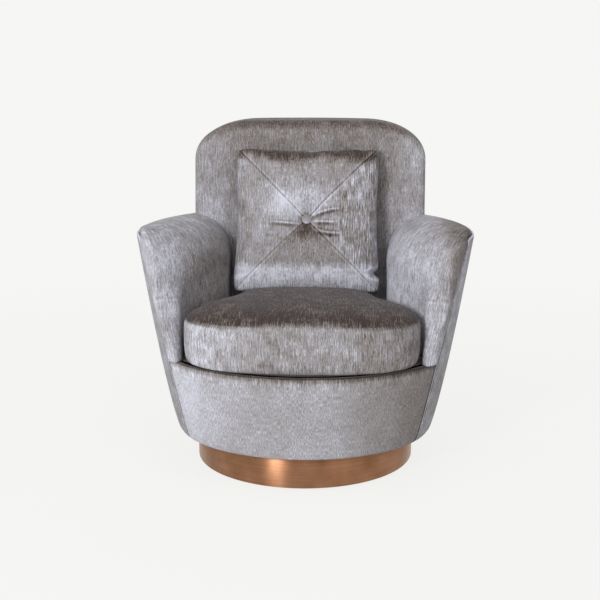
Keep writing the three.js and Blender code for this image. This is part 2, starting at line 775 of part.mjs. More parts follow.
const backRailHalf = backPostX - backPostWidth / 2 - touchGap;
const postYAt = (z) => lerp(backPostFootY, backPostHeadY, (z - postFoot) / (backPostTop - postFoot));

function backRail(grow) {
  const low = backPostTop - backRailHeight;
  const half = backPostDepth / 2 + grow;
  const corner = (x, y, z) => new THREE.Vector3(x, y, z);
  const ring = (z) => {
    const y = postYAt(z);
    const x = backRailHalf + grow;
    return [corner(-x, y - half, z), corner(x, y - half, z), corner(x, y + half, z), corner(-x, y + half, z)];
  };
  return loftRings([ring(low - grow), ring(backPostTop + grow)]);
}

const frameSpace = tubSolid(frameInset);
addPair("arm_post", common(armPost(0), frameSpace), plywood);
addPair("back_post", common(backPost(0), frameSpace), timber);
addPair("arm_rail", common(armRail(0), frameSpace), timber);
addPiece("back_rail", backRail(0), timber);

const posts = [armPost(touchGap), backPost(touchGap)].flatMap((g) => [g, mirrored(g)]);
addPiece(
  "seat_frame",
  cut(
    tubPlate(seatFrameBottom, seatFrameTop, frameInset),
    tubPlate(seatFrameBottom - cutOverrun, seatFrameTop + cutOverrun, frameInset + seatFrameWidth),
    ...posts,
  ),
  timber,
);
const rivetHoleRadius = rivetHeadRadius + rivetClearance * 2;
addPiece(
  "base_board",
  cut(
    tubPlate(baseBoardBottom, baseBoardTop, frameInset),
    rodAt(0, 0, baseBoardBottom - cutOverrun, baseBoardTop + cutOverrun, rivetHoleRadius, discSides),
    ...upperBoltPlaces.map(plateHole),
  ),
  plywood,
);
addPiece(
  "dust_cloth",
  cut(
    tubPlate(tubBottom, tubBottom + dustClothThickness, frameInset),
    rodAt(0, 0, tubBottom - cutOverrun, tubBottom + cutOverrun, plinthRadius, roundSides),
  ),
  blackCloth,
);

// Bent boards and outside covers.
const armBoardTop = armWeltHeight - 2 * weltRadius;
const armCoverTop = armWeltHeight - weltRadius - touchGap;

function pipe(points, radius, pieces, sides) {
  const corners = turns(sides).map((a) => new THREE.Vector2(radius * Math.cos(a), radius * Math.sin(a)));
  const section = new THREE.Shape(corners);
  const path = new THREE.CatmullRomCurve3(points);
  return new THREE.ExtrudeGeometry(section, { steps: pieces, bevelEnabled: false, extrudePath: path });
}

const weltParts = 8;
const weltLine = steps(weltParts).map((v) => {
  const z = lerp(tubBottom + weltRadius, armWeltHeight, v);
  return new THREE.Vector3(tubX(weltY(z), z, weltRadius), weltY(z), z);
});
const weltAlong = steps(weltParts).slice(1).map((u) => {
  const endY = tubRearY(backHalfWidth + 2 * touchGap, armWeltHeight, 0) - weltRadius;
  const y = lerp(weltY(armWeltHeight), endY, u);
  return new THREE.Vector3(tubX(y, armWeltHeight, weltRadius), y, armWeltHeight);
});
const weltSteps = 24;
const weltSides = 5;
const welt = (grow) => pipe([...weltLine, ...weltAlong], weltRadius + grow, weltSteps, weltSides);
const weltSpace = welt(touchGap * 2);

const rightSide = (shell, z0, z1) => common(common(shell, armZone(0)), slice(z0, z1));
addPair("arm_welt", cut(welt(0), backZone(-touchGap)), velvet);
const coverSide = rightSide(layer(0, clothThickness), tubBottom, armCoverTop);
const boardSide = rightSide(layer(boardInset, boardThickness), tubBottom, armBoardTop);
addPair("outside_arm_cover", mainBody(cut(coverSide, weltSpace)), velvet);
addPair("arm_board", mainBody(cut(boardSide, weltSpace)), plywood);
addPiece("outside_back_cover", common(layer(0, clothThickness), backZone(touchGap)), velvet);
addPiece("back_board", common(layer(boardInset, boardThickness), backZone(boardInset + touchGap)), plywood);

// Apron: cover and padding in front of a bent board that stands on the base board.
const apronPart = (shell, z0, z1) =>
  cut(common(common(shell, apronZone()), slice(z0, z1)), weltSpace, mirrored(weltSpace));
addPiece("apron_cover", apronPart(layer(0, clothThickness), tubBottom, deckTop), velvet);
addPiece("apron_padding", apronPart(layer(boardInset, boardThickness), tubBottom, deckTop), foamFinish);
const apronBoardTop = seatFrameBottom - touchGap;
addPiece("apron_board", apronPart(layer(frameInset, apronBoardThickness), postFoot, apronBoardTop), plywood);

// Springs and deck.
const springStepsPerBend = 4;
const springSides = 4;

function spring(x) {
  const restInset = frameInset + seatFrameWidth / 2;
  const y0 = tubFrontY(Math.abs(x) + springAmplitude, seatFrameTop, restInset);
  const y1 = tubRearY(Math.abs(x) + springAmplitude, seatFrameTop, restInset);
  const pieces = springBends * springStepsPerBend;
  const points = steps(pieces).map((t) => {
    const side = Math.sin(t * springBends * Math.PI);
    return new THREE.Vector3(x + springAmplitude * side, lerp(y0, y1, t), springHeight);
  });
  return pipe(points, springWireRadius, pieces, springSides);
}

steps(springCount - 1).forEach((t, i) => {
  const across = lerp(-1, 1, t) * ((springCount - 1) / 2);
  addPiece(`seat_spring_${i + 1}`, spring(springPitch * across), steel);
});

const backSpace = backForm(-seamClearance);
addPiece("seat_deck", mainBody(cut(tubPlate(deckBottom, deckTop, frameInset), ...posts)), velvet);

// Padded arms and back, with the covers over them.
const belowWelt = slice(tubBottom - cutOverrun, armCoverTop + touchGap);
const wallSpace = cut(common(armZone(touchGap), belowWelt), frameSpace);
const armCoverBack = insetGrid(armFace, clothThickness, armBack);
const armFoamFace = insetGrid(armFace, clothThickness + touchGap, armBack);
const armFrame = [armPost(touchGap), armRail(touchGap)];
const armForm = slabBetween(armFoamFace, armBack);
const armPad = cut(armForm, ...armFrame, backSpace, wallSpace, welt(touchGap * 4));
addPair("arm_padding", mainBody(armPad), foamFinish);
addPair(
  "inside_arm_cover",
  mainBody(cut(slabBetween(armFace, armCoverBack), backSpace, wallSpace, weltSpace)),
  velvet,
);

const aboveFoot = slice(padFoot, backTop + cutOverrun);
const backFrame = [backPost(touchGap), mirrored(backPost(touchGap)), backRail(touchGap)];
const backPad = common(common(backForm(boardInset), frameSpace), aboveFoot);
addPiece("back_padding", cut(backPad, ...backFrame), foamFinish);
addPiece(
  "inside_back_cover",
  cut(common(common(backForm(0), tubSolid(boardInset)), aboveFoot), backForm(clothThickness)),
  velvet,
);

// Seat cushion: rings from the middle of its underside, round the boxed edge, to its crown.
const cushionRearY = backFaceY(0, cushionBottom, 0) - cushionRearGap;
const cushionRearShare = 0.5; // power that squares the rear corners
const cushionSides = 32;
const ringShares = [
  [0.55, 0],
  [0.93, 0],
  [0.985, 0.07],
  [1, 0.3],
  [1, 0.55],
  [0.985, 0.72],
  [0.94, 0.82],
  [0.8, 0.93],
  [0.5, 0.99],
];

function cushionEdge(angle, z, inset) {
  const c = Math.cos(angle);
  const s = Math.sin(angle);
  const half = (y) => Math.min(armInnerX(y, z), armInnerFrontHigh) - cushionSideClearance - inset;
  if (s <= 0) {
    const depth = cushionMidY - cushionFrontY - inset;
    const front = depth * signedPower(s, cushionFrontShare);
    return [half(cushionMidY) * signedPower(c, cushionFrontShare), cushionMidY + front];
  }
  const y = cushionMidY + (cushionRearY - cushionMidY - inset) * s ** cushionRearShare;
  return [half(y) * signedPower(c, cushionRearShare), y];
}

function cushionForm(inset) {
  const rings = ringShares.map(([share, rise]) =>
    turns(cushionSides).map((angle) => {
      const [edgeX, edgeY] = cushionEdge(angle, cushionBottom + cushionHeight * rise, inset);
      const x = edgeX * share;
      const y = cushionMidY + (edgeY - cushionMidY) * share;
      const full = cushionHeight - cushionRearDrop * smooth((y - cushionMidY) / (cushionRearY - cushionMidY));
      return new THREE.Vector3(x, y, cushionBottom + lerp(inset, full - inset, rise));
    }),
  );
  return loftRings(rings);
}

const zipSlot = (grow) =>
  boxAt(
    -zipLength / 2 - grow,
    zipLength / 2 + grow,
    cushionRearY - zipThickness - cushionCoverThickness - grow,
    cushionRearY + (grow > 0 ? cutOverrun : -cushionCoverThickness / 2),
    cushionBottom + cushionSeamHeight / 2 - zipHeight / 2 - grow,
    cushionBottom + cushionSeamHeight / 2 + zipHeight / 2 + grow,
  );
addPiece(
  "seat_cushion_cover",
  cut(cushionForm(0), cushionForm(cushionCoverThickness), zipSlot(touchGap)),
  velvet,
);
const padForm = cushionForm(cushionCoverThickness + touchGap);
addPiece("seat_cushion_pad", cut(padForm, zipSlot(touchGap * 2)), foamFinish);
addPiece("seat_cushion_zip", zipSlot(0), nylon);

// Scatter cushion: two domed faces that meet at a pinched edge, pulled in by a button on each side.
const scatterCells = 10;

function scatterPoint(s, t, side, inset) {
  const half = scatterSide / 2 - inset;
  const x = s * (half - scatterWaist * (1 - t ** 2) * s ** 2) * (1 - scatterSpreadShare * t);
  const z = t * (half - scatterWaist * (1 - s ** 2) * t ** 2);
  const dome = Math.sqrt((1 - s ** 4) * (1 - t ** 4));
  const reach = Math.hypot(x, z) / scatterTuftSpread;
  const dimple = scatterTuft * Math.exp(-(reach ** 2));
  const edge = scatterEdge / 2;
  const depth = Math.max(edge, edge + (scatterThickness / 2 - edge) * dome - dimple) - inset;
  return new THREE.Vector3(x, side * depth, z);
}

const scatterCrowdShare = 1.3; // power that draws the grid closer near the button
const scatterPlaces = steps(scatterCells).map((u) => signedPower(lerp(-1, 1, u), scatterCrowdShare));

// The cushion leans on the back: it stands as far back as its rear face allows.
const scatterZ = cushionBottom + cushionHeight + scatterRise;
const scatterRoom = scatterPlaces.flatMap((s) => scatterPlaces.map((t) => {
  const point = scatterPoint(s, t, 1, 0).applyAxisAngle(new THREE.Vector3(1, 0, 0), -scatterLeanShare);
  return backFaceY(point.x, scatterZ + point.z, 0) - point.y;
}));
const scatterY = Math.min(...scatterRoom) - scatterGap;
const placeScatter = (geometry) => geometry.rotateX(-scatterLeanShare).translate(0, scatterY, scatterZ);

function scatterForm(inset) {
  const column = (s, side) => scatterPlaces.map((t) => scatterPoint(s, t, side, inset));
  const grid = (side) => scatterPlaces.map((s) => column(s, side));
  return slabBetween(grid(-1), grid(1));
}

const tuftFace = scatterPoint(0, 0, 1, 0).y;
const alongY = (radius, y1) => new THREE.CylinderGeometry(radius, radius, 2 * y1, shankSides);
const twineHole = alongY(twineRadius + touchGap, tuftFace + cutOverrun);
const scatterPadInset = scatterCoverThickness + touchGap;
const scatterShell = cut(scatterForm(0), scatterForm(scatterCoverThickness), twineHole);
addPiece("scatter_cover", placeScatter(scatterShell), velvet);
addPiece("scatter_pad", placeScatter(cut(scatterForm(scatterPadInset), twineHole)), foamFinish);

// The button's underside clears the slope of the dimple at its rim.
const beside = scatterPoint(scatterPlaces[scatterCells / 2 + 1], 0, 1, 0);
const base = tuftFace + touchGap + ((beside.y - tuftFace) * buttonRadius * Math.SQRT2) / beside.x;

const domeSteps = 3;

function button(side) {
  const dome = steps(domeSteps).map((t) => [
    buttonRadius * Math.cos((t * Math.PI) / 2),
    base + buttonThickness * lerp(buttonRimShare, 1, Math.sin((t * Math.PI) / 2)),
  ]);
  dome[domeSteps][0] = 0;
  const disc = turned([[0, base], [buttonRadius, base], ...dome], glideSides).rotateX(-Math.PI / 2);
  return side > 0 ? disc : disc.rotateX(Math.PI);
}

addPiece("button_front", placeScatter(button(-1)), velvet);
addPiece("button_back", placeScatter(button(1)), velvet);
addPiece("tuft_twine", placeScatter(alongY(twineRadius, base - touchGap)), nylon);

// The origin is the middle of the chair's footprint, on the floor.
const bounds = new THREE.Box3().setFromObject(chair);
chair.position.y = -(bounds.min.y + bounds.max.y) / 2;

export default chair;
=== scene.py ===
# %% [markdown]
# # A swivel tub armchair in velvet
#
# The chair is a wide barrel of upholstery that turns on a round copper plinth. It has a boxed seat cushion
# with a rounded front and a square scatter cushion, pulled in by a button.
#
# The engineering model gives the frame, the boards and the moving bodies. This lesson dresses it: each soft
# piece is worked out again as a smooth surface over the same outline and takes the place of its plain solid.
# Lengths are in metres, X runs across the chair, Y from its front to its back and Z upwards.

# %% Load the engineering model and keep its size
import json
import math

import bmesh
import bpy
import numpy as np
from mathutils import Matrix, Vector


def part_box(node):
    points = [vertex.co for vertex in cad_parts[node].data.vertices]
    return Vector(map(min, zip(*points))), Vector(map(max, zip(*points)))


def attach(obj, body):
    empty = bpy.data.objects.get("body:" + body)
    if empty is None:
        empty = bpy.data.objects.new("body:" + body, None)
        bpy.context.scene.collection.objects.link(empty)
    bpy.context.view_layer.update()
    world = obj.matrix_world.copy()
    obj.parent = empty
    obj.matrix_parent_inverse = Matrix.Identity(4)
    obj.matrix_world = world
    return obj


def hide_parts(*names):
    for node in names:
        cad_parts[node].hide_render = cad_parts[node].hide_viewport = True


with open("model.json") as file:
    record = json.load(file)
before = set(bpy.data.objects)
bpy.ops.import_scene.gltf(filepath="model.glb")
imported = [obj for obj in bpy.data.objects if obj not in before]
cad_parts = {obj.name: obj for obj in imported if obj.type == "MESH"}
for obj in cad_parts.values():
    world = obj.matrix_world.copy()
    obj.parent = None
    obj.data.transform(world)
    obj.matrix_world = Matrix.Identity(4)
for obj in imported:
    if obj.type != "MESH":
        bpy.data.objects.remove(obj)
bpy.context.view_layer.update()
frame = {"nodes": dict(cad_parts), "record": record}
nodes = frame["nodes"]
band_low, band_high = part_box("plinth_band")
axis_y = (band_low.y + band_high.y) / 2

# %% [markdown]
# ## Small helpers for shapes
#
# Every shape below is a function of two parameters, worked out for a whole grid of points at once. A few
# short functions blend values, and one turns grids into a closed mesh. Working on whole arrays keeps each
# formula on one line, and it is fast.

# %% Blend, limit and ease
def lerp(a, b, t):
    """From a at t = 0 to b at t = 1 in a straight line."""
    return a + (b - a) * t


def clamp01(t):
    """The value kept between 0 and 1."""
    return np.clip(t, 0.0, 1.0)


def smooth(t):
    """The S curve 3t² - 2t³, which is level at both ends."""
    t = clamp01(t)
    return t * t * (3 - 2 * t)


def signed_power(value, power):
    """A power that keeps the sign, for the squared circles that upholsterers like."""
    return np.sign(value) * np.abs(value) ** power


def hump(t, centre, width):
    """A soft bump of height 1 at centre, e to the minus squared distance over width."""
    return np.exp(-(((t - centre) / width) ** 2))


def points_of(x, y, z):
    """Arrays of x, y and z as one array of points, moved from the swivel's axis to the frame."""
    x, y, z = np.broadcast_arrays(x, y, z)
    return np.stack([x, y + axis_y, z], axis=-1)


def mirror_grid(grid):
    """The same grid on the chair's other side."""
    return grid * np.array([-1.0, 1.0, 1.0])


# %% Grids to meshes
weld_distance = 2e-5


def cloth_lengths(points):
    """Lengths in metres, u across the columns and v up the rows, so that a weave isn't stretched."""
    across = np.linalg.norm(np.diff(points, axis=1), axis=2)
    up = np.linalg.norm(np.diff(points, axis=0), axis=2)
    u = np.concatenate([np.zeros((len(points), 1)), np.cumsum(across, axis=1)], axis=1)
    v = np.concatenate([np.zeros((1, points.shape[1])), np.cumsum(up, axis=0)], axis=0)
    u -= u[:, points.shape[1] // 2][:, None]
    return np.stack([u, v], axis=-1)


def grid_quads(rows, columns):
    """The four corners of every cell of a grid, as row-major indices."""
    i, j = np.meshgrid(np.arange(rows - 1), np.arange(columns - 1), indexing="ij")
    first = (i * columns + j).ravel()
    return np.stack([first, first + 1, first + columns + 1, first + columns], axis=1)


def map_cloth(mesh, uv):
    """Stores where every face corner lies on the cloth, in metres, as the UV map named cloth."""
    layer = mesh.uv_layers.get("cloth") or mesh.uv_layers.new(name="cloth")
    layer.data.foreach_set("uv", uv.astype(np.float32).ravel())


def make_mesh(name, grids):
    """Grids of points welded where they meet, with their lengths as a map and faces that point out."""
    corners, faces, maps, start = [], [], [], 0
    for grid in grids:
        quads = grid_quads(*grid.shape[:2])
        corners.append(grid.reshape(-1, 3))
        faces.append(quads + start)
        maps.append(cloth_lengths(grid).reshape(-1, 2)[quads.ravel()])
        start += len(corners[-1])
    mesh = bpy.data.meshes.new(name)
    mesh.from_pydata(np.concatenate(corners).tolist(), [], np.concatenate(faces).tolist())
    map_cloth(mesh, np.concatenate(maps))
    shape = bmesh.new()
    shape.from_mesh(mesh)
    bmesh.ops.remove_doubles(shape, verts=shape.verts, dist=weld_distance)
    bmesh.ops.dissolve_degenerate(shape, edges=shape.edges, dist=weld_distance / 4)
    bmesh.ops.recalc_face_normals(shape, faces=shape.faces)
    shape.to_mesh(mesh)
    shape.free()
    mesh.shade_smooth()
    return mesh


def vertex_arrays(mesh):
    """The places and normals of all points, as two arrays."""
    places = np.empty(len(mesh.vertices) * 3, np.float32)
    normals = np.empty(len(mesh.vertices) * 3, np.float32)
    mesh.vertices.foreach_get("co", places)
    mesh.vertex_normals.foreach_get("vector", normals)
    return places.reshape(-1, 3).astype(float), normals.reshape(-1, 3).astype(float)


def corner_points(mesh):
    """The index of the point at each corner of each face."""
    index = np.empty(len(mesh.loops), np.int32)
    mesh.loops.foreach_get("vertex_index", index)
    return index


def move_points(mesh, places):
    """Puts all points of a mesh at new places."""
    mesh.vertices.foreach_set("co", places.ravel().astype(np.float32))
    mesh.update()


# %% From mesh to a piece of the chair
finishes = {}


def new_object(name, data):
    """An object at the origin, linked to the scene."""
    thing = bpy.data.objects.new(name, data)
    bpy.context.scene.collection.objects.link(thing)
    return thing


def add_piece(mesh, body, slot, *stands_for):
    """A mesh as a piece in the slot's finish, which rides on a body and stands for the named solids."""
    piece = new_object(mesh.name, mesh)
    piece.data.materials.append(finishes[slot])
    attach(piece, body)
    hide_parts(*stands_for)
    return piece

# %% [markdown]
# ## Camera, floor and light
#
# The camera stands three metres away at the height of a person's chest and looks a little down, with a long
# lens so that the chair isn't drawn out. Four soft square lamps light the chair, the strongest from the
# front left.
#
# A curved backdrop could close the scene, but its bend would show as a grey band. So the floor is flat,
# pale and almost without an edge: near the chair it takes a soft shadow, and further off it runs into the
# same white as the world behind it.

# %% The camera, by its distance, height and tilt
camera_distance = 3.0
camera_height = 1.1
camera_tilt = math.radians(13.5)
camera_turn = math.radians(3.0)
camera_lens, camera_sensor = 70.4, 36.0
camera_shift_x, camera_shift_y = -0.0086, 0.0230

camera_data = bpy.data.cameras.new("camera")
camera_data.lens = camera_lens
camera_data.sensor_width = camera_sensor
camera_data.shift_x = camera_shift_x
camera_data.shift_y = camera_shift_y
camera = new_object("camera", camera_data)
camera_x = camera_distance * math.sin(camera_turn)
camera_y = axis_y - camera_distance * math.cos(camera_turn)
camera.location = (camera_x, camera_y, camera_height)
camera.rotation_euler = (math.pi / 2 - camera_tilt, 0.0, camera_turn)
bpy.context.scene.camera = camera
bpy.context.scene.view_settings.view_transform = "Standard"
print("camera at", [round(value, 3) for value in camera.location])

# %% Short names for building materials
def new_material(name):
    """An empty node material with one Principled shader joined to its output."""
    material = bpy.data.materials.new(name)
    material.use_nodes = True
    tree = material.node_tree
    tree.nodes.clear()
    shader = tree.nodes.new("ShaderNodeBsdfPrincipled")
    output = tree.nodes.new("ShaderNodeOutputMaterial")
    tree.links.new(shader.outputs["BSDF"], output.inputs["Surface"])
    return material, tree, shader


def add_node(tree, kind, inputs=None, **settings):
    """A node with its settings and inputs; an input may be a value or another node's output."""
    node = tree.nodes.new(kind)
    for key, value in settings.items():
        setattr(node, key, value)
    for key, value in (inputs or {}).items():
        socket = node.inputs[key]
        if isinstance(value, bpy.types.NodeSocket):
            tree.links.new(value, socket)
        else:
            socket.default_value = value
    return node


def math_node(tree, operation, a, b, clamp=False):
    """One step of arithmetic on two numbers or outputs."""
    return add_node(tree, "ShaderNodeMath", {0: a, 1: b}, operation=operation, use_clamp=clamp).outputs[0]


def weighed(tree, total, part, weight):
    """The total plus a weight times the part."""
    return math_node(tree, "ADD", total, math_node(tree, "MULTIPLY", part, weight))


def stretched(tree, value, low, high, to_low=0.0, to_high=1.0):
    """A value's range from low to high, laid over another range and kept within it."""
    return add_node(tree, "ShaderNodeMapRange", {0: value, 1: low, 2: high, 3: to_low, 4: to_high}).outputs[0]


def mix_colours(tree, factor, a, b):
    """Two colours mixed by a factor."""
    return add_node(tree, "ShaderNodeMix", {0: factor, 6: a, 7: b}, data_type="RGBA").outputs[2]


def noise(tree, place, features, detail, roughness=0.5):
    """Noise with a number of features for each metre, or one number for each of three directions."""
    stretch = [float(count) for count in np.broadcast_to(features, 3)]
    scaled = add_node(tree, "ShaderNodeVectorMath", {0: place, 1: stretch}, operation="MULTIPLY").outputs[0]
    inputs = {"Vector": scaled, "Scale": 1.0, "Detail": detail, "Roughness": roughness}
    return add_node(tree, "ShaderNodeTexNoise", inputs).outputs[0]


def emboss(tree, shader, height, strength, depth):
    """Makes the surface catch the light as if a height stood out of it."""
    bump = add_node(tree, "ShaderNodeBump", {"Height": height, "Strength": strength, "Distance": depth})
    tree.links.new(bump.outputs[0], shader.inputs["Normal"])


def linear(red, green, blue):
    """A colour given in the 0 to 255 of a paint chart, as the linear light that Blender mixes."""
    chart = np.array([red, green, blue]) / 255
    light = np.where(chart <= 0.04045, chart / 12.92, ((chart + 0.055) / 1.055) ** 2.4)
    return (*[float(value) for value in light], 1.0)


# %% The floor and the world behind it
background = linear(246, 246, 244)
floor_colour = linear(236, 236, 234)
floor_reach = 40.0
fade_start = 0.9
fade_length = 1.6
near_share = 0.9
ambient_strength = 0.42


def seen_by_camera(tree):
    """1 for rays from the camera, and for those that metal or glass sends on."""
    path = add_node(tree, "ShaderNodeLightPath")
    seen = math_node(tree, "MAXIMUM", path.outputs["Is Camera Ray"], path.outputs["Is Glossy Ray"])
    return math_node(tree, "MAXIMUM", seen, path.outputs["Is Transmission Ray"])


def floor_material():
    """A matt pale floor that blends into plain background light away from the chair."""
    material, tree, shader = new_material("pale_floor")
    shader.inputs["Base Color"].default_value = floor_colour
    shader.inputs["Roughness"].default_value = 0.9
    shader.inputs["Specular IOR Level"].default_value = 0.1
    place = add_node(tree, "ShaderNodeTexCoord").outputs["Object"]
    away = add_node(tree, "ShaderNodeVectorMath", {0: place}, operation="LENGTH").outputs["Value"]
    share = stretched(tree, away, fade_start, fade_start + fade_length, near_share)
    share = math_node(tree, "MULTIPLY", share, seen_by_camera(tree))
    glow = add_node(tree, "ShaderNodeEmission", {"Color": background}).outputs[0]
    mixed = add_node(tree, "ShaderNodeMixShader", {0: share, 1: shader.outputs[0], 2: glow})
    output = next(node for node in tree.nodes if node.type == "OUTPUT_MATERIAL")
    tree.links.new(mixed.outputs[0], output.inputs["Surface"])
    return material


corners = np.array([[[-1, -1], [1, -1]], [[-1, 1], [1, 1]]]) * floor_reach
floor_grid = np.concatenate([corners, np.zeros((2, 2, 1))], axis=2)
floor = new_object("floor", make_mesh("floor", [floor_grid]))
floor.data.materials.append(floor_material())

world = bpy.data.worlds.new("studio")
world.use_nodes = True
bpy.context.scene.world = world
sky = world.node_tree
sky.nodes.clear()
shown = add_node(sky, "ShaderNodeBackground", {"Color": background}).outputs[0]
white = (1.0, 1.0, 1.0, 1.0)
ambient = add_node(sky, "ShaderNodeBackground", {"Color": white, "Strength": ambient_strength}).outputs[0]
both = add_node(sky, "ShaderNodeMixShader", {0: seen_by_camera(sky), 1: ambient, 2: shown})
add_node(sky, "ShaderNodeOutputWorld", {"Surface": both.outputs[0]})
print("floor and world ready")

# %% Soft lamps round the front of the chair
chest = Vector((0.0, axis_y, 0.45))
lamps = {
    "lamp_left": ((-1.75, -3.5, 1.6), 0.9, 88.0),
    "lamp_right": ((2.4, -3.0, 1.5), 2.0, 14.0),
    "lamp_above": ((0.0, -0.6, 3.4), 2.2, 26.0),
    "lamp_behind": ((0.4, 3.2, 2.2), 2.0, 26.0),
}
for name, (place, size, power) in lamps.items():
    data = bpy.data.lights.new(name, "AREA")
    data.shape = "SQUARE"
    data.size = size
    data.energy = power
    lamp = new_object(name, data)
    lamp.location = place
    lamp.rotation_euler = (chest - Vector(place)).to_track_quat("-Z", "Y").to_euler()
print("lamps:", sorted(lamps))

# %% [markdown]
# ## Crushed velvet
#
# Velvet is a lawn of short fibres. Where the fibres stand towards you the cloth is a cool silver, and where
# they lie away from you it is a dark warm taupe. So its colour depends on how the pile was brushed, and
# that is what makes the patches and the fans over the arms. The dark top of the seat is painted shade:
# faces that look up are painted darker.
#
# Strands of hair could stand for the fibres, but there would be millions of them. A painted picture of
# velvet would repeat, with its patches in any place. So the cloth is a smooth surface, and its look is
# worked out from how the pile lies.
#
# Each piece stores how its pile lies as an attribute from 0, taupe, to 1, silver, and how strongly it is
# crushed as a second one. Painted light and shade are summed into the first. Faces that look up are painted
# darker, sides away from the front-left lamp are painted darker, and painted shadows lie under the seat
# cushion, beside the welts, in the seams and under the pleats. Painted highlights lie on the pleats, on the
# lips of the seams and along the seat's front edge. The material adds fine streaks and threads along the
# pile, patches the size of a hand and, where the pile is crushed, long creases. A ramp turns the sum into
# colour. Streaks read the piece's own cloth map, so that they follow the surface. A weak sheen gives the
# pale rim that velvet has where it turns away.

# %% The velvet's material
velvet_colours = {
    0.0: (58, 49, 46),
    0.25: (104, 95, 90),
    0.5: (138, 133, 132),
    0.75: (167, 166, 173),
    1.0: (214, 215, 227),
}
streak_share, thread_share, patch_share, crush_share = 0.55, 0.9, 0.3, 0.15
crush_in_creases = 0.3
thread_height = 0.5


def colour_ramp(tree, factor, colours):
    """A ramp through colours at their places between 0 and 1."""
    ramp = add_node(tree, "ShaderNodeValToRGB", {"Fac": factor})
    stops = ramp.color_ramp.elements
    for position in list(colours)[1:-1]:
        stops.new(position)
    for stop, colour in zip(stops, colours.values()):
        stop.color = linear(*colour)
    return ramp.outputs[0]


def velvet_material():
    """Pile share with its painted light and shade, streaks, patches and creases, summed and turned into
    colour and relief.
    """
    material, tree, shader = new_material("silver_velvet")
    cloth_place = add_node(tree, "ShaderNodeUVMap", uv_map="cloth").outputs[0]
    place = add_node(tree, "ShaderNodeTexCoord").outputs["Object"]

    def pattern(where, features, detail, roughness=0.5):
        """Noise that swings evenly to both sides of 0."""
        return math_node(tree, "SUBTRACT", noise(tree, where, features, detail, roughness), 0.5)

    streaks = pattern(cloth_place, (330.0, 60.0, 1.0), 3.0, 0.65)
    threads = pattern(cloth_place, (620.0, 120.0, 1.0), 2.0, 0.6)
    patches = pattern(place, (9.0, 9.0, 7.0), 3.0)
    crush = pattern(place, (38.0, 38.0, 26.0), 2.0)
    creases = pattern(cloth_place, (330.0, 27.0, 1.0), 2.5, 0.6)
    pile_and_painted_light = add_node(tree, "ShaderNodeAttribute", attribute_name="pile_and_painted_light").outputs["Fac"]
    worn = add_node(tree, "ShaderNodeAttribute", attribute_name="crushed").outputs["Fac"]

    rough = math_node(tree, "MULTIPLY", weighed(tree, creases, crush, crush_in_creases), worn)
    total = math_node(tree, "ADD", pile_and_painted_light, rough)
    layers = ((streaks, streak_share), (threads, thread_share), (patches, patch_share), (crush, crush_share))
    for layer, share in layers:
        total = weighed(tree, total, layer, share)
    tree.links.new(colour_ramp(tree, total, velvet_colours), shader.inputs["Base Color"])
    shader.inputs["Roughness"].default_value = 0.85
    shader.inputs["Specular IOR Level"].default_value = 0.15
    shader.inputs["Sheen Weight"].default_value = 0.12
    shader.inputs["Sheen Roughness"].default_value = 0.45
    shader.inputs["Sheen Tint"].default_value = linear(232, 232, 240)
    height = math_node(tree, "ADD", weighed(tree, streaks, threads, thread_height), rough)
    emboss(tree, shader, height, 0.55, 0.0016)
    return material


finishes["velvet"] = velvet_material()
print("velvet ready:", len(finishes["velvet"].node_tree.nodes), "nodes")

# %% How the pile lies on a piece, with the painted light and shade
def store_pile_and_painted_light(piece, share, crushed=None):
    """Stores every point's pile, from 0, lying away, to 1, standing towards you, with the painted light and
    shade summed into it, and how crushed it is.
    """
    for name, value in (("pile_and_painted_light", share), ("crushed", crushed)):
        if value is not None:
            layer = piece.data.attributes.new(name, "FLOAT", "POINT")
            values = np.broadcast_to(value, len(piece.data.vertices))
            layer.data.foreach_set("value", values.astype(np.float32))


# %% [markdown]
# ## The barrel's outline
#
# Seen from above the chair is an oval: half an ellipse at the front and a slightly squared one at the back.
# Its sides flare upwards from the plinth to the arms. Each cover could be modelled by itself, but then
# neighbours would gape or overlap. Here every cover is a patch of this one outline, so they all meet in
# clean seams. The sizes repeat the engineering model's, in metres, measured from the swivel's axis.

# %% Sizes of the barrel
tub_bottom = 0.088
arm_height = 0.600
back_top = 0.862
half_width_low, half_width_high = 0.330, 0.432
rear_depth_low, rear_depth_arm, rear_depth_top = 0.340, 0.400, 0.420
front_depth_low, front_depth_seat = 0.290, 0.302
widest_y = -0.020
seat_frame_top = 0.284
deck_top = 0.296
flare_power = 0.78
rear_power = 2.2
cloth = 0.0025


def arm_share(z):
    """0 at the barrel's foot and 1 at the height of the arms."""
    return clamp01((z - tub_bottom) / (arm_height - tub_bottom))


def half_width(z):
    """Half the barrel's width: a power of the height, below 1, makes it flare quickly at first."""
    return lerp(half_width_low, half_width_high, arm_share(z) ** flare_power)


def rear_depth(z):
    """From the widest line to the back, straight up to the arms and straight again above them."""
    above = clamp01((z - arm_height) / (back_top - arm_height))
    return lerp(rear_depth_low, rear_depth_arm, arm_share(z)) + (rear_depth_top - rear_depth_arm) * above


def front_depth(z):
    """From the widest line to the front, growing evenly up to the top of the seat frame."""
    return lerp(front_depth_low, front_depth_seat, clamp01((z - tub_bottom) / (seat_frame_top - tub_bottom)))


def outline(angle, z, inset=0.0):
    """A point of the oval: cosine and sine of the angle, squared a little by a power in the rear half."""
    rear = np.sin(angle) > 0
    power = np.where(rear, 2 / rear_power, 1.0)
    depth = np.where(rear, rear_depth(z), front_depth(z)) - inset
    x = (half_width(z) - inset) * signed_power(np.cos(angle), power)
    return points_of(x, widest_y + depth * signed_power(np.sin(angle), power), z)


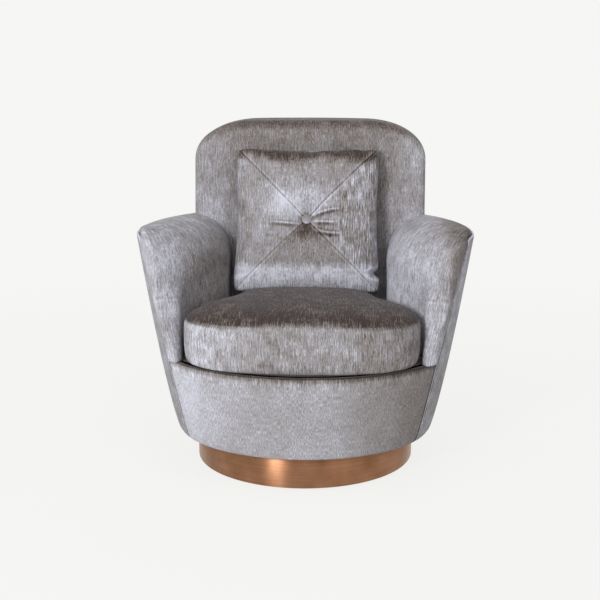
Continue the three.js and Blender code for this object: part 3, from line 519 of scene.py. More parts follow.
def rear_y(x, z, inset=0.0):
    """How far back the oval lies at a place across it, from the superellipse's own equation."""
    share = np.minimum(1.0, np.abs(x) / (half_width(z) - inset))
    return widest_y + (rear_depth(z) - inset) * (1 - share**rear_power) ** (1 / rear_power)


def side_x(y, z, inset=0.0):
    """How far out the oval lies at a place from front to back."""
    rear = y > widest_y
    depth = np.where(rear, rear_depth(z), front_depth(z)) - inset
    power = np.where(rear, rear_power, 2.0)
    share = np.minimum(1.0, np.abs(y - widest_y) / depth)
    return (half_width(z) - inset) * (1 - share**power) ** (1 / power)


# %% The welt's line and the seam between arm and back
welt_radius = 0.003
welt_y_low, welt_y_high, welt_bow = -0.158, -0.105, 0.018
seam_half = 0.318
gap = 0.0003


def welt_y(z):
    """The welt runs down the front of the arm in a shallow bow, a parabola between its ends."""
    t = arm_share(z)
    return lerp(welt_y_low, welt_y_high, t) - welt_bow * 4 * t * (1 - t)


def before_welt(z):
    """The line just in front of the welt, where the covers meet it."""
    return welt_y(z) - welt_radius - gap


def seam_x(z):
    """The seam between arm and back lies at a fixed share of the barrel's half width."""
    return seam_half * half_width(z) / half_width_high


def front_angle(y, z):
    """The outline's angle at a place on the front half, the arc sine of its share of the depth."""
    return np.arcsin(np.clip((y - widest_y) / front_depth(z), -1, 0))


def rear_angle(x, z):
    """The outline's angle at a place across the rear half."""
    return np.arccos(np.clip(x / half_width(z), -1, 1) ** (rear_power / 2))


print("half width at the seat:", round(float(half_width(seat_frame_top)), 4))

# %% [markdown]
# ## Outside covers
#
# The outside of each arm is one panel of velvet, pulled tight over a bent board. It ends at the welt in
# front, at the seam of the back behind, and it is turned in under the frame, where it is stapled. The plain
# solid could be shaded smooth, but its flats would still show along the edges. So a grid of angle and
# height gives the panel, and a Solidify modifier gives the cloth its thickness towards the inside.

# %% Panels from rows of angles
panel_rows = 60
turn_in = 0.012
turn_shares = (1.0, 0.5, 0.15)
chair_middle = np.array([0.0, axis_y, 0.4])


def panel(start_angle, end_angle, low, high, columns):
    """A patch of the outline between two angles that may change with height, turned in round its foot."""
    z = np.linspace(low, high, panel_rows)[:, None]
    share = np.linspace(0, 1, columns)[None, :]
    wall = outline(lerp(start_angle(z), end_angle(z), share), z)
    wall[0, :, 2] = low + cloth
    foot = np.full((1, 1), low)
    angles = lerp(start_angle(foot), end_angle(foot), share)
    tuck = [outline(angles, foot, turn_in * t) for t in turn_shares]
    return np.concatenate([*tuck, wall])


def outer_mesh(name, grid):
    """An open panel whose faces look away from the middle of the chair."""
    mesh = make_mesh(name, [grid])
    places, normals = vertex_arrays(mesh)
    if np.sum((places - chair_middle) * normals) < 0:
        mesh.flip_normals()
    return mesh


def give_thickness(piece, thickness=cloth):
    """Cloth of a real thickness on the inner side of the surface, so that the outside keeps its place."""
    shell = piece.modifiers.new("thickness", "SOLIDIFY")
    shell.thickness = thickness
    shell.offset = -1.0


# %% The outside of the arms
arm_columns = 72
outside_crushed = 0.9


def rising_pile(places, low, gain, foot, span):
    """A pile share that grows by a gain over a span of height above its foot."""
    return low + gain * smooth((places[:, 2] - foot) / span)


outside_arm = panel(
    lambda z: front_angle(welt_y(z) + welt_radius + gap, z),
    lambda z: rear_angle(seam_x(z) + gap, z),
    tub_bottom,
    arm_height - welt_radius - gap,
    arm_columns,
)
for side, grid in (("right", outside_arm), ("left", mirror_grid(outside_arm))):
    mesh = outer_mesh(f"outside_arm_{side}", grid)
    piece = add_piece(mesh, "seat", "velvet", f"outside_arm_cover_{side}")
    places, _ = vertex_arrays(mesh)
    store_pile_and_painted_light(piece, rising_pile(places, low=0.62, gain=0.1, foot=0.2, span=0.3), outside_crushed)
    give_thickness(piece)
print("outside arm grid:", outside_arm.shape)

# %% [markdown]
# ## The back
#
# The back is a foam slab that leans a little, hollowed towards its sides so that it holds the sitter, with
# a rolled edge. The inside cover runs over that edge to the seam at the rear; the outside cover closes it
# from behind.
#
# A box with a Bevel modifier would have a roll but no hollow, and a sculpted slab would lose the even roll,
# so both are formulas. The rolled edge is a quarter circle in the distance to the outline: with d the
# distance and r the radius, the face falls back by r - sqrt(r² - (r - d)²).

# %% Sizes of the back
corner_width, corner_height, corner_power = 0.170, 0.104, 2.2
corner_foot = back_top - corner_height
back_low_y, back_high_y = 0.204, 0.285
back_wing, back_wing_power = 0.052, 2.6
back_roll = 0.034
back_lumbar = 0.010
back_foot = 0.2963


def back_reach(z):
    """Half the back's width: the seam's, less what a squared quarter ellipse takes away at the top corner."""
    rise = clamp01((z - corner_foot) / corner_height)
    return seam_x(z) - corner_width * (1 - (1 - rise**corner_power) ** (1 / corner_power))


def back_edge(x, z):
    """The distance to the edge near a top corner, along the line from the corner's middle."""
    corner_x = np.maximum(0.0, np.abs(x) - (seam_x(z) - corner_width))
    corner_z = np.maximum(0.0, z - corner_foot)
    share = (corner_x / corner_width) ** corner_power + (corner_z / corner_height) ** corner_power
    share = np.maximum(share ** (1 / corner_power), 1e-4)
    return np.hypot(corner_x, corner_z) * (1 / share - 1) + back_roll * (share < 0.01)


def back_face_y(x, z):
    """The face's lean, less its wings and the lumbar swell, plus the roll near the outline."""
    lean = (z - deck_top) / (back_top - deck_top)
    spread = np.minimum(1.0, np.abs(x) / seam_half)
    swell = back_lumbar * np.cos(spread * math.pi / 2)
    plain = lerp(back_low_y, back_high_y, lean) - back_wing * spread**back_wing_power - swell
    near = clamp01(1 - back_edge(x, z) / back_roll)
    return plain + back_roll * (1 - np.sqrt(1 - near**2))


# %% Rows of heights that crowd together towards the top, and columns that crowd towards the sides
low_rows, corner_rows = 44, 25
quarter = np.linspace(0, math.pi / 2, corner_rows + 1)[1:]
top_rows = corner_foot + corner_height * np.sin(quarter)
face_z = np.concatenate([np.linspace(back_foot, corner_foot, low_rows), top_rows])[:, None]
back_columns = np.sin(np.linspace(-math.pi / 2, math.pi / 2, 73))
wall_steps = np.linspace(0, 1, 14)
face_x = back_columns[None, :] * back_reach(face_z)
face = points_of(face_x, back_face_y(face_x, face_z), face_z)


def to_rear(edge):
    """The strip that runs straight back from an edge of the face to the rear seam."""
    x, z = edge[:, 0], edge[:, 2]
    rear = points_of(x, rear_y(x, z, cloth), z)
    return lerp(edge[:, None], rear[:, None], wall_steps[None, :, None])


def back_pile_and_painted_shade(places, normals):
    """Silver towards the sides, where the pile was brushed out, and taupe in the middle and at the top, where
    painted shade also darkens faces that look up.
    """
    share = np.abs(places[:, 0]) / seam_half
    level = 0.46 + 0.2 * smooth((share - 0.55) / 0.4) + 0.08 * smooth((0.72 - places[:, 2]) / 0.2)
    # Painted shade on faces that look up, such as the rolled top.
    return level - 0.3 * smooth((normals[:, 2] - 0.2) / 0.7)


walls = [to_rear(edge) for edge in (face[:, -1], face[:, 0], face[-1], face[0])]
rear_z = np.broadcast_to(face_z, face_x.shape)
rear_face = points_of(face_x, rear_y(face_x, rear_z, cloth), rear_z)
mesh = make_mesh("inside_back", [face, *walls, rear_face])
piece = add_piece(mesh, "seat", "velvet", "inside_back_cover", "back_padding")
store_pile_and_painted_light(piece, back_pile_and_painted_shade(*vertex_arrays(mesh)), 0.8)
print("back points:", len(mesh.vertices))

# %% The outside of the back
outer_z = np.concatenate([np.linspace(tub_bottom + cloth, corner_foot, 60), top_rows])[:, None]
outer_x = back_columns[None, :] * (back_reach(outer_z) - gap)
outer = points_of(outer_x, rear_y(outer_x, outer_z), outer_z)
foot_x = outer_x[:1]
tucked = [points_of(foot_x, rear_y(foot_x, tub_bottom, turn_in * t), tub_bottom) for t in turn_shares]
mesh = outer_mesh("outside_back", np.concatenate([*tucked, outer]))
piece = add_piece(mesh, "seat", "velvet", "outside_back_cover")
places, _ = vertex_arrays(mesh)
store_pile_and_painted_light(piece, rising_pile(places, low=0.6, gain=0.12, foot=0.3, span=0.4), outside_crushed)
give_thickness(piece)
print("outside back points:", len(mesh.vertices))

# %% [markdown]
# ## Padded arms
#
# Each arm starts as a narrow rolled front beside the seat, swells as it rises, and is rolled over at the
# top to meet the welt. It could be sculpted, but both arms have to match and the cushion has to pass
# between them, so the arm is a surface with named sizes.
#
# Seen from above, a quarter superellipse leads from the welt to the foremost point. Behind it the inner
# face has two shapes: beside the cushion it follows the cushion's edge, and above the cushion it is one
# convex sweep to the back; a smooth step in height leads from one to the other. Above the wall, each column
# of the surface turns over in a quarter ellipse and falls to the welt.

# %% Sizes of the arm
arm_foot = 0.2963
arm_swell = 0.150
nose_x_low, nose_x_high = 0.312, 0.360
nose_y_low, nose_y_high = -0.194, -0.182
nose_share, rear_share = 0.22, 0.80
nose_power, face_power = 1.9, 1.35
face_rear_x, face_rear_y, arm_end_y = 0.214, 0.140, 0.262
beside_front_x, beside_rear_x = 0.302, 0.212
beside_front_y, beside_rear_y = -0.090, 0.085
beside_room, beside_reach = 0.004, 0.045
cushion_crown_low, cushion_crown_high = 0.430, 0.500
roll_width, roll_height = 0.120, 0.124
crest, crest_rear, crest_share = 0.024, 0.010, 0.7
edge_power = 1.5
welt_inset = 2 * welt_radius + gap


def swell(z):
    """How far the arm's front has swollen at a height: an S curve from 0 at its foot to 1."""
    return smooth((z - arm_foot) / arm_swell)


def nose_front(z):
    """The foremost point of the arm's rolled front at a height, which moves with the swell."""
    return lerp(nose_x_low, nose_x_high, swell(z)), lerp(nose_y_low, nose_y_high, swell(z))


def convex_x(y, z):
    """The inner face above the cushion: a quarter superellipse from the front of the roll to the back."""
    front_x, front_y = nose_front(z)
    share = clamp01((face_rear_y - y) / (face_rear_y - front_y))
    return front_x - (front_x - face_rear_x) * (1 - share**face_power) ** (1 / face_power)


def beside_x(y):
    """The inner face beside the cushion: straight at first, and then a quarter sine inwards to the back."""
    t = clamp01((y - beside_front_y) / (beside_rear_y - beside_front_y))
    sweep = lerp(beside_front_x, beside_rear_x, np.sin(t * math.pi / 2))
    return np.minimum(sweep, convex_x(y, arm_height))


def arm_plan(u, z):
    """From the welt round the front, along the inner face to the back, and on behind the cover's edge."""
    start_y = before_welt(z)
    start_x = side_x(start_y, z)
    front_x, front_y = nose_front(z)
    outer = clamp01(u / nose_share) * math.pi / 2
    inner = clamp01((u - nose_share) / (rear_share - nose_share)) * math.pi / 2
    nose_x = front_x + (start_x - front_x) * signed_power(np.cos(outer), 2 / nose_power)
    nose_y = start_y + (front_y - start_y) * signed_power(np.sin(outer), 2 / nose_power)
    face_y = face_rear_y + (front_y - face_rear_y) * signed_power(np.cos(inner), 2 / face_power)
    face_y = face_y + (arm_end_y - face_rear_y) * clamp01((u - rear_share) / (1 - rear_share))
    above = convex_x(face_y, z)
    reached = smooth((face_y - front_y) / beside_reach)
    beside = lerp(np.minimum(above, front_x), beside_x(face_y) + beside_room, reached)
    step = smooth((z - cushion_crown_low) / (cushion_crown_high - cushion_crown_low))
    face_x = lerp(beside, above, step)
    behind = u > nose_share
    return np.where(behind, face_x, nose_x), np.where(behind, face_y, nose_y)


def arm_outer_y(u, z):
    """How far back the top edge lies for each column, slowly at first round the roll."""
    return lerp(before_welt(z), arm_end_y, u**edge_power)


def arm_surface(u, wall, roll, fall):
    """All columns of the arm: rows up the wall, round the roll to the crest, and down to the welt."""
    edge_y = arm_outer_y(u, arm_height)
    edge_x = side_x(edge_y, arm_height, welt_inset)
    mid_x, mid_y = arm_plan(u, arm_height - roll_height / 2)
    grown = clamp01(np.hypot(mid_x - edge_x, mid_y - edge_y) / roll_width)
    rise = roll_height * grown
    proud = lerp(crest, crest_rear, clamp01((u - nose_share) / (1 - nose_share))) * grown
    top = arm_height + proud - rise
    wall_z = lerp(arm_foot, top, wall)
    wall_x, wall_y = arm_plan(u, wall_z)
    foot_x, foot_y = arm_plan(u, top)
    turn = roll * math.pi / 2
    share_roll = crest_share * (1 - np.cos(turn))
    roll_z = top + rise * np.sin(turn)
    slope = fall * math.pi / 2
    share_fall = crest_share + (1 - crest_share) * np.sin(slope)
    fall_z = arm_height + proud * np.cos(slope)
    over = [
        points_of(lerp(foot_x, edge_x, share), lerp(foot_y, edge_y, share), z)
        for share, z in ((share_roll, roll_z), (share_fall, fall_z))
    ]
    return np.concatenate([points_of(wall_x, wall_y, wall_z), *over])

# %% The arm's surface, closed by a back face inside the frame
arm_crushed = 1.0
columns = [
    np.linspace(0, nose_share, 26),
    np.linspace(nose_share, rear_share, 56)[1:],
    np.linspace(rear_share, 1, 12)[1:],
]
arm_u = np.concatenate(columns)[None, :]
wall_rows, roll_rows, fall_rows = (np.linspace(0, 1, count)[:, None] for count in (40, 22, 14))
arm_grid = arm_surface(arm_u, wall_rows, roll_rows[1:], fall_rows[1:])
hidden_v = np.linspace(0, 1, len(arm_grid))[:, None]
hidden_z = lerp(arm_foot, arm_height - 4 * welt_radius, hidden_v)
hidden_y = arm_outer_y(arm_u, hidden_z)
arm_hidden = points_of(side_x(hidden_y, hidden_z, cloth + gap), hidden_y, hidden_z)


def close_slab(front, behind):
    """Two grids of the same size and the four strips that join their borders."""
    borders = (np.s_[0], np.s_[-1], np.s_[:, 0], np.s_[:, -1])
    return [front, behind, *(np.stack([front[border], behind[border]]) for border in borders)]


def by_welt(places):
    """1 in the narrow shadow beside the welt, and 0 from a few millimetres away."""
    x, y, z = np.abs(places[:, 0]), places[:, 1] - axis_y, places[:, 2]
    beside = np.abs(side_x(welt_y(z) - welt_radius, z) - x) + 0.35 * np.abs(y - welt_y(z))
    above = np.abs(z - arm_height) + 0.3 * np.abs(x - side_x(y, arm_height, welt_inset))
    above = above + 3 * np.maximum(0.0, welt_y(arm_height) + 0.01 - y)
    return hump(np.minimum(beside, above), 0.0, 0.0045)


def arm_pile_and_painted_light(places, normals):
    """Silver in front; painted light and shade darken the left arm's inner face, the right arm's outer half,
    faces that look up and the strip beside the welt.
    """
    reach = np.abs(places[:, 0])
    left = places[:, 0] < 0
    inner = smooth((0.335 - reach) / 0.085) * smooth((0.63 - places[:, 2]) / 0.12)
    outer = smooth((reach - 0.325) / 0.07)
    # Faces that look up, which get painted shade.
    crown = smooth((normals[:, 2] - 0.35) / 0.65)
    # Painted light from the lamp at the front left: the left arm's inner face and the right arm's outer half
    # are painted darker, the right arm's inner face a little lighter.
    level = 0.78 - np.where(left, 0.34, -0.06) * inner - np.where(left, 0.0, 0.45) * outer
    # Painted shade on faces that look up, and a painted shadow beside the welt.
    return level - 0.10 * crown - 0.8 * by_welt(places)


slab = close_slab(arm_grid, arm_hidden)
for side, grids in (("right", slab), ("left", [mirror_grid(grid) for grid in slab])):
    mesh = make_mesh(f"inside_arm_{side}", grids)
    piece = add_piece(mesh, "seat", "velvet", f"inside_arm_cover_{side}", f"arm_padding_{side}")
    store_pile_and_painted_light(piece, arm_pile_and_painted_light(*vertex_arrays(mesh)), arm_crushed)
print("arm grid:", arm_grid.shape)

# %% [markdown]
# ## The apron and the welts
#
# The apron is the curved panel under the seat. It is pulled over a thin layer of foam and rolls in over the
# top of the frame, where the arms and the cushion cover its edge. It is one more patch of the outline, with
# a few rows that turn in at the top.
#
# The welt is a cord in a strip of velvet, sewn where the outside of the arm meets its rolled front. A curve
# with a round bevel would make one quickly. A circle carried along the path as points looks the same, and
# it also has closed ends and a cloth map of its own.

# %% The apron, with its rolled top
apron_roll = 0.004
apron_thickness = 0.0088
apron_lip = 0.024
apron_columns = 140


def apron_start(z):
    """The outline's angle just in front of the right welt."""
    return front_angle(before_welt(z), z)


def apron_end(z):
    """The same angle on the left."""
    return -math.pi - apron_start(z)


def apron_pile_and_painted_light(places, normals):
    """Silver on the left and greyer on the right, as painted light from the front-left lamp; painted shade on
    the rolled top, a painted shadow under the cushion at the top edge and beside the welts.
    """
    x, below_top = places[:, 0], deck_top - places[:, 2]
    # Painted shade where the rolled top looks up, and a painted shadow of the cushion along the top edge.
    level = 0.66 - 0.4 * smooth(normals[:, 2] / 0.95) - 0.3 * smooth((0.016 - below_top) / 0.012)
    # Painted light from the lamp at the front left: lighter on the left, darker on the right.
    across = 0.24 * smooth((-x - 0.08) / 0.25) - 0.24 * smooth((x - 0.08) / 0.25)
    # A painted shadow beside each welt.
    return level + across - 1.1 * by_welt(places)


wall = panel(apron_start, apron_end, tub_bottom, deck_top - apron_roll, apron_columns)
top_z = np.full((1, 1), deck_top)
top_angles = lerp(apron_start(top_z), apron_end(top_z), np.linspace(0, 1, apron_columns)[None, :])
roll = []
for turn in np.linspace(0, math.pi / 2, 8)[1:]:
    row = outline(top_angles, top_z, apron_roll * (1 - math.cos(turn)))
    row[..., 2] = deck_top - apron_roll * (1 - math.sin(turn))
    roll.append(row)
lip = outline(top_angles, top_z, apron_lip)
mesh = outer_mesh("apron", np.concatenate([wall, *roll, lip]))
piece = add_piece(mesh, "seat", "velvet", "apron_cover", "apron_padding")
places, normals = vertex_arrays(mesh)
creased = 1.2 * smooth((places[:, 2] - deck_top + 0.05) / 0.05)
store_pile_and_painted_light(piece, apron_pile_and_painted_light(places, normals), creased)
give_thickness(piece, apron_thickness)
print("apron points:", len(mesh.vertices))

# %% A circle carried along a path
tube_sides = 14
eased = 12


def closed_tube(path, radius):
    """Rings square to the path, with one axis kept away from the chair, and ends that shrink to a point."""
    tangent = np.gradient(path, axis=0)
    tangent /= np.linalg.norm(tangent, axis=1)[:, None]
    outward = path - np.array([0.0, axis_y, 0.0])
    outward = outward * np.array([1.0, 1.0, 0.0]) + np.array([0.0, 0.0, 0.2])
    across = np.cross(tangent, outward)
    across /= np.linalg.norm(across, axis=1)[:, None]
    normal = np.cross(across, tangent)
    angle = np.linspace(0, 2 * math.pi, tube_sides + 1)[None, :, None]
    rings = path[:, None] + radius * (np.cos(angle) * normal[:, None] + np.sin(angle) * across[:, None])
    first, last = (np.repeat(path[end][None, None], tube_sides + 1, axis=1) for end in (0, -1))
    return np.concatenate([first, rings, last])


def rounded(path):
    """A path with its corners eased, by averaging each point with its neighbours a few times."""
    for _ in range(eased):
        path[1:-1] = (path[:-2] + 2 * path[1:-1] + path[2:]) / 4
    return path


# %% The welts of both arms
welt_steps = 90
welt_pile = 1.1

up_z = np.linspace(tub_bottom + welt_radius, arm_height, welt_steps)
up = points_of(side_x(welt_y(up_z), up_z, welt_radius), welt_y(up_z), up_z)
end_y = float(rear_y(seam_half + 2 * gap, arm_height)) - welt_radius
along_y = np.linspace(float(welt_y(arm_height)), end_y, welt_steps)[1:]
along = points_of(side_x(along_y, arm_height, welt_radius), along_y, arm_height)
welt_path = rounded(np.concatenate([up, along]))
welt_grid = closed_tube(welt_path, welt_radius)
for side, grid in (("right", welt_grid), ("left", mirror_grid(welt_grid))):
    piece = add_piece(make_mesh(f"welt_{side}", [grid]), "seat", "velvet", f"arm_welt_{side}")
    store_pile_and_painted_light(piece, welt_pile)
welt_length = np.linalg.norm(np.diff(welt_path, axis=0), axis=1).sum()
print("welt length:", round(float(welt_length), 3))

# %% [markdown]
# ## The deck
#
# Under the cushion a flat cloth deck lies on the springs. It could be drawn anew, but its solid already has
# the right plan, so a copy of that mesh is welded, and its edges are rounded by a Bevel modifier, as cloth
# would round them.

# %% The deck from its own solid
deck_pile = 0.3
deck_edge = 0.002
flat_angle = math.radians(2)

mesh = nodes["seat_deck"].data.copy()
mesh.name = "deck"
mesh.materials.clear()
shape = bmesh.new()
shape.from_mesh(mesh)
bmesh.ops.remove_doubles(shape, verts=shape.verts, dist=weld_distance)
bmesh.ops.dissolve_limit(shape, angle_limit=flat_angle, verts=shape.verts, edges=shape.edges)
shape.to_mesh(mesh)
shape.free()
for layer in list(mesh.uv_layers):
    mesh.uv_layers.remove(layer)
places, _ = vertex_arrays(mesh)
map_cloth(mesh, places[corner_points(mesh)][:, :2])
piece = add_piece(mesh, "seat", "velvet", "seat_deck")
store_pile_and_painted_light(piece, deck_pile)
soft_edge = piece.modifiers.new("soft edge", "BEVEL")
soft_edge.width = deck_edge
soft_edge.segments = 3
soft_edge.limit_method = "ANGLE"
print("deck points:", len(mesh.vertices))

# %% [markdown]
# ## The seat cushion
#
# The seat cushion is a boxed foam cushion whose front follows the rounded front of the chair. A bevelled
# block could have the same plan, but its walls would be flat and hard.
#
# The plan is half a squared ellipse in front, and behind it runs along the arms. Rings of that plan, a
# little smaller at the foot and at the crown, make the form. Then a short cloth simulation blows the cover
# up from inside, as foam and wadding do, so that its walls swell.

# %% Sizes of the seat cushion
cushion_bottom = 0.2963
cushion_front_y, cushion_mid_y, cushion_rear_y = -0.306, -0.150, 0.184
cushion_clearance = 0.004
cushion_front_power, cushion_rear_power = 0.8, 0.5
cushion_height = 0.153
cushion_rear_drop = 0.008
cushion_angles = 160
cushion_rows = 40
cushion_swell = 0.003
profile = np.array(
    [[0.0, 0.0], [0.6, 0.0], [0.93, 0.0], [0.978, 0.03], [0.995, 0.13], [1.0, 0.3], [1.0, 0.52],
     [0.996, 0.64], [0.985, 0.72], [0.955, 0.79], [0.88, 0.86], [0.7, 0.91], [0.45, 0.935], [0.2, 0.944],
     [0.0, 0.945]]
)


def cushion_half(y):
    """Half the cushion's width between the arms, which it must still pass when it is lifted out."""
    return beside_x(y) - cushion_clearance


def cushion_plan(angle):
    """The cushion's edge: a squared ellipse before its middle line, and behind it a line along the arms."""
    c, s = np.cos(angle), np.sin(angle)
    front_y = cushion_mid_y + (cushion_mid_y - cushion_front_y) * signed_power(s, cushion_front_power)
    behind_y = cushion_mid_y + (cushion_rear_y - cushion_mid_y) * np.maximum(s, 0) ** cushion_rear_power
    front_x = cushion_half(cushion_mid_y) * signed_power(c, cushion_front_power)
    rear_x = cushion_half(behind_y) * signed_power(c, cushion_rear_power)
    return np.where(s <= 0, front_x, rear_x), np.where(s <= 0, front_y, behind_y)


def cushion_rings():
    """Rings of the plan scaled by the profile's share, at the profile's height, lower at the back."""
    steps = np.linspace(0, 1, cushion_rows)
    known = np.linspace(0, 1, len(profile))
    share, rise = (np.interp(steps, known, profile[:, k])[:, None] for k in (0, 1))
    angle = np.linspace(0, 2 * math.pi, cushion_angles + 1)[None, :]
    edge_x, edge_y = cushion_plan(angle)
    x, y = edge_x * share, cushion_mid_y + (edge_y - cushion_mid_y) * share
    back = smooth((y - cushion_mid_y) / (cushion_rear_y - cushion_mid_y))
    return points_of(x, y, cushion_bottom + (cushion_height - cushion_rear_drop * back) * rise)


# %% Cloth that is blown up from inside
inflation_frames = 20
cloth_settings = {
    "quality": 6,
    "mass": 0.3,
    "use_pressure": True,
    "tension_stiffness": 18.0,
    "compression_stiffness": 12.0,
    "bending_stiffness": 0.6,
}


def inflate(piece, pressure, cap, low=-1.0):
    """Runs a short Cloth simulation without gravity, and moves each point at most by the cap."""
    start, _ = vertex_arrays(piece.data)
    modifier = piece.modifiers.new("cloth", "CLOTH")
    for name, value in cloth_settings.items():
        setattr(modifier.settings, name, value)
    modifier.settings.uniform_pressure_force = pressure
    modifier.settings.effector_weights.gravity = 0.0
    modifier.collision_settings.use_collision = False
    for number in range(1, inflation_frames + 1):
        bpy.context.scene.frame_set(number)
    evaluated = piece.evaluated_get(bpy.context.evaluated_depsgraph_get())
    swollen, _ = vertex_arrays(evaluated.data)
    piece.modifiers.remove(modifier)
    bpy.context.scene.frame_set(1)
    move = swollen - start
    length = np.linalg.norm(move, axis=1)[:, None]
    result = start + move * np.minimum(1.0, cap / np.maximum(length, 1e-9))
    result[:, 2] = np.maximum(result[:, 2], low)
    move_points(piece.data, result)
    print(piece.name, "swelled by up to", round(float(np.minimum(length, cap).max()) * 1000, 1), "mm")


def add_subdivision(piece):
    """One level of Catmull-Clark smoothing, the same in the viewport and in a render."""
    smoothing = piece.modifiers.new("smooth", "SUBSURF")
    smoothing.levels = 1
    smoothing.render_levels = 1


# %% The cushion, its map and its pile
steepest_top = 0.6
arc_radius, arc_centre = 0.29, 0.05
cushion_crushed = 1.15


def cushion_map(mesh):
    """The plan for faces that look up, and arc and height for the walls, so that all streaks run true."""
    count = len(mesh.polygons)
    normal, loops = np.empty(count * 3), np.empty(count, np.int32)
    mesh.polygons.foreach_get("normal", normal)
    mesh.polygons.foreach_get("loop_total", loops)
    rise = np.repeat(normal.reshape(-1, 3)[:, 2], loops)
    corner = corner_points(mesh)
    flat, _ = vertex_arrays(mesh)
    arc = arc_radius * np.arctan2(flat[:, 0], -(flat[:, 1] - axis_y - cushion_mid_y - arc_centre))
    wall = np.stack([arc, flat[:, 2]], axis=1)
    return np.where((rise > steepest_top)[:, None], flat[corner][:, :2], wall[corner])


def cushion_pile_and_painted_light(places, normals):
    """The top is painted dark, as shade on faces that look up, with a painted sheen band along its front
    edge; the walls are silver, painted lighter on the left and darker on the right.
    """
    x, y = places[:, 0], places[:, 1] - axis_y
    # Faces that look up, which get painted shade.
    top = smooth((normals[:, 2] - 0.3) / 0.35)
    front = smooth((-0.28 - y) / 0.03)
    # A painted sheen where the top begins to turn down at the front.
    band = front * top * (1 - smooth((normals[:, 2] - 0.9) / 0.09))
    # Painted light from the lamp at the front left: lighter on the left, darker on the right.
    across = 0.24 * smooth((-x - 0.08) / 0.2) - 0.16 * smooth((x - 0.1) / 0.2)
    return lerp(0.56 + across, 0.04, top) + 0.8 * band


mesh = make_mesh("seat_cushion", [cushion_rings()])
piece = add_piece(mesh, "seat_cushion", "velvet", "seat_cushion_cover", "seat_cushion_pad")
inflate(piece, 3.0, cushion_swell, low=cushion_bottom)
map_cloth(mesh, cushion_map(mesh))
store_pile_and_painted_light(piece, cushion_pile_and_painted_light(*vertex_arrays(mesh)), cushion_crushed)
add_subdivision(piece)
print("seat cushion points:", len(mesh.vertices))

# %% [markdown]
# ## The scatter cushion
#
# The scatter cushion is made of four triangles, sewn together along the diagonals, on each face. A covered
# button in the middle is tied through to one behind, so it pulls the faces in, and pleats run out from it.
# The sides are drawn in between the corners, as on every cushion that is filled after it is sewn.
#
# The folds could come from a long simulation with the button pulled in, but every change would move them.
# So a short simulation only fills the cushion, and each fold is then put where it belongs.
#
# Both faces are one function of s and t from -1 to 1: the half thickness is the square root of (1 - s⁴)(1 -
# t⁴). After the simulation the dimple, the sewn lines, the pleats and the crumpled corners are added as
# heights on that surface.

# %% Sizes of the scatter cushion
scatter_side = 0.402
scatter_spread = 0.015
scatter_shift = -0.004
corner_pull = 0.010
scatter_thickness = 0.112
scatter_edge = 0.007
scatter_waist = 0.007
scatter_lean = 0.26
scatter_y, scatter_z = 0.1712, 0.6005
scatter_steps = 130
scatter_swell = 0.004


def scatter_to_chair(x, y, z):
    """Leans the cushion back round X and puts it on the seat."""
    c, s = math.cos(scatter_lean), math.sin(scatter_lean)
    return points_of(x + scatter_shift, scatter_y + y * c + z * s, scatter_z - y * s + z * c)


def scatter_from_chair(places):
    """The same way back, from the frame to the cushion's own directions."""
    c, s = math.cos(scatter_lean), math.sin(scatter_lean)
    x, y, z = places[:, 0] - scatter_shift, places[:, 1] - axis_y - scatter_y, places[:, 2] - scatter_z
    return x, y * c - z * s, y * s + z * c


def scatter_face(side):
    """One face of the cushion on a grid that is closer near the edges and in the middle."""
    steps = np.linspace(-1, 1, scatter_steps + 1)
    steps = steps * (0.75 + 0.5 * np.abs(steps) - 0.25 * steps**2)
    s, t = steps[None, :], steps[:, None]
    half = scatter_side / 2
    round_off = corner_pull * s**8 * t**8
    x = s * (half - scatter_waist * (1 - t**2) * s**2 - round_off) * (1 - scatter_spread * t)
    z = t * (half - scatter_waist * (1 - s**2) * t**2 - round_off)
    dome = np.sqrt(np.maximum(0.0, (1 - s**4) * (1 - t**4)))
    depth = scatter_edge / 2 + (scatter_thickness / 2 - scatter_edge / 2) * dome
    return scatter_to_chair(x, side * depth, z)


scatter = make_mesh("scatter_cushion", close_slab(scatter_face(-1), scatter_face(1)))
scatter_piece = add_piece(scatter, "scatter_cushion", "velvet", "scatter_cover", "scatter_pad")
inflate(scatter_piece, 2.0, scatter_swell)
print("scatter cushion points:", len(scatter.vertices))

# %% The dimple, sewn lines, pleats and corners
tuft_depth, tuft_spread = 0.034, 0.046
seam_depth, seam_width = 0.0036, 0.0030
crumple, ripple = 0.0034, 0.0012
notch_depth, notch_z, notch_width = 0.013, -0.142, 0.009
sag_depth = 0.004
rim = 0.0035
pleats = [
    # From and to, seen from the front; half width; height; bow
    ((0.004, 0.004), (0.112, 0.028), 0.0045, 0.0080, 0.007),
    ((0.012, -0.006), (0.095, -0.012), 0.0040, 0.0040, 0.002),
    ((0.012, -0.022), (0.108, -0.036), 0.0048, 0.0085, -0.008),
    ((-0.010, -0.012), (-0.110, -0.008), 0.0045, 0.0050, 0.001),
]


def ridge(x, z, start, end, width, bow):
    """A soft ridge along a bowed line: 1 on the line, falling off beside it and towards its ends."""
    start, end = np.array(start), np.array(end)
    along = end - start
    length = np.linalg.norm(along)
    along = along / length
    t = ((x - start[0]) * along[0] + (z - start[1]) * along[1]) / length
    off = (x - start[0]) * -along[1] + (z - start[1]) * along[0] - bow * 4 * t * (1 - t)
    return hump(off, 0.0, width) * smooth(t / 0.3) * smooth((1 - t) / 0.45)


def scatter_seams(x, z):
    """How far each point lies from the nearer diagonal seam."""
    plain = x / (1 - scatter_spread * z / (scatter_side / 2))
    return np.minimum(np.abs(plain - z), np.abs(plain + z)) / math.sqrt(2)


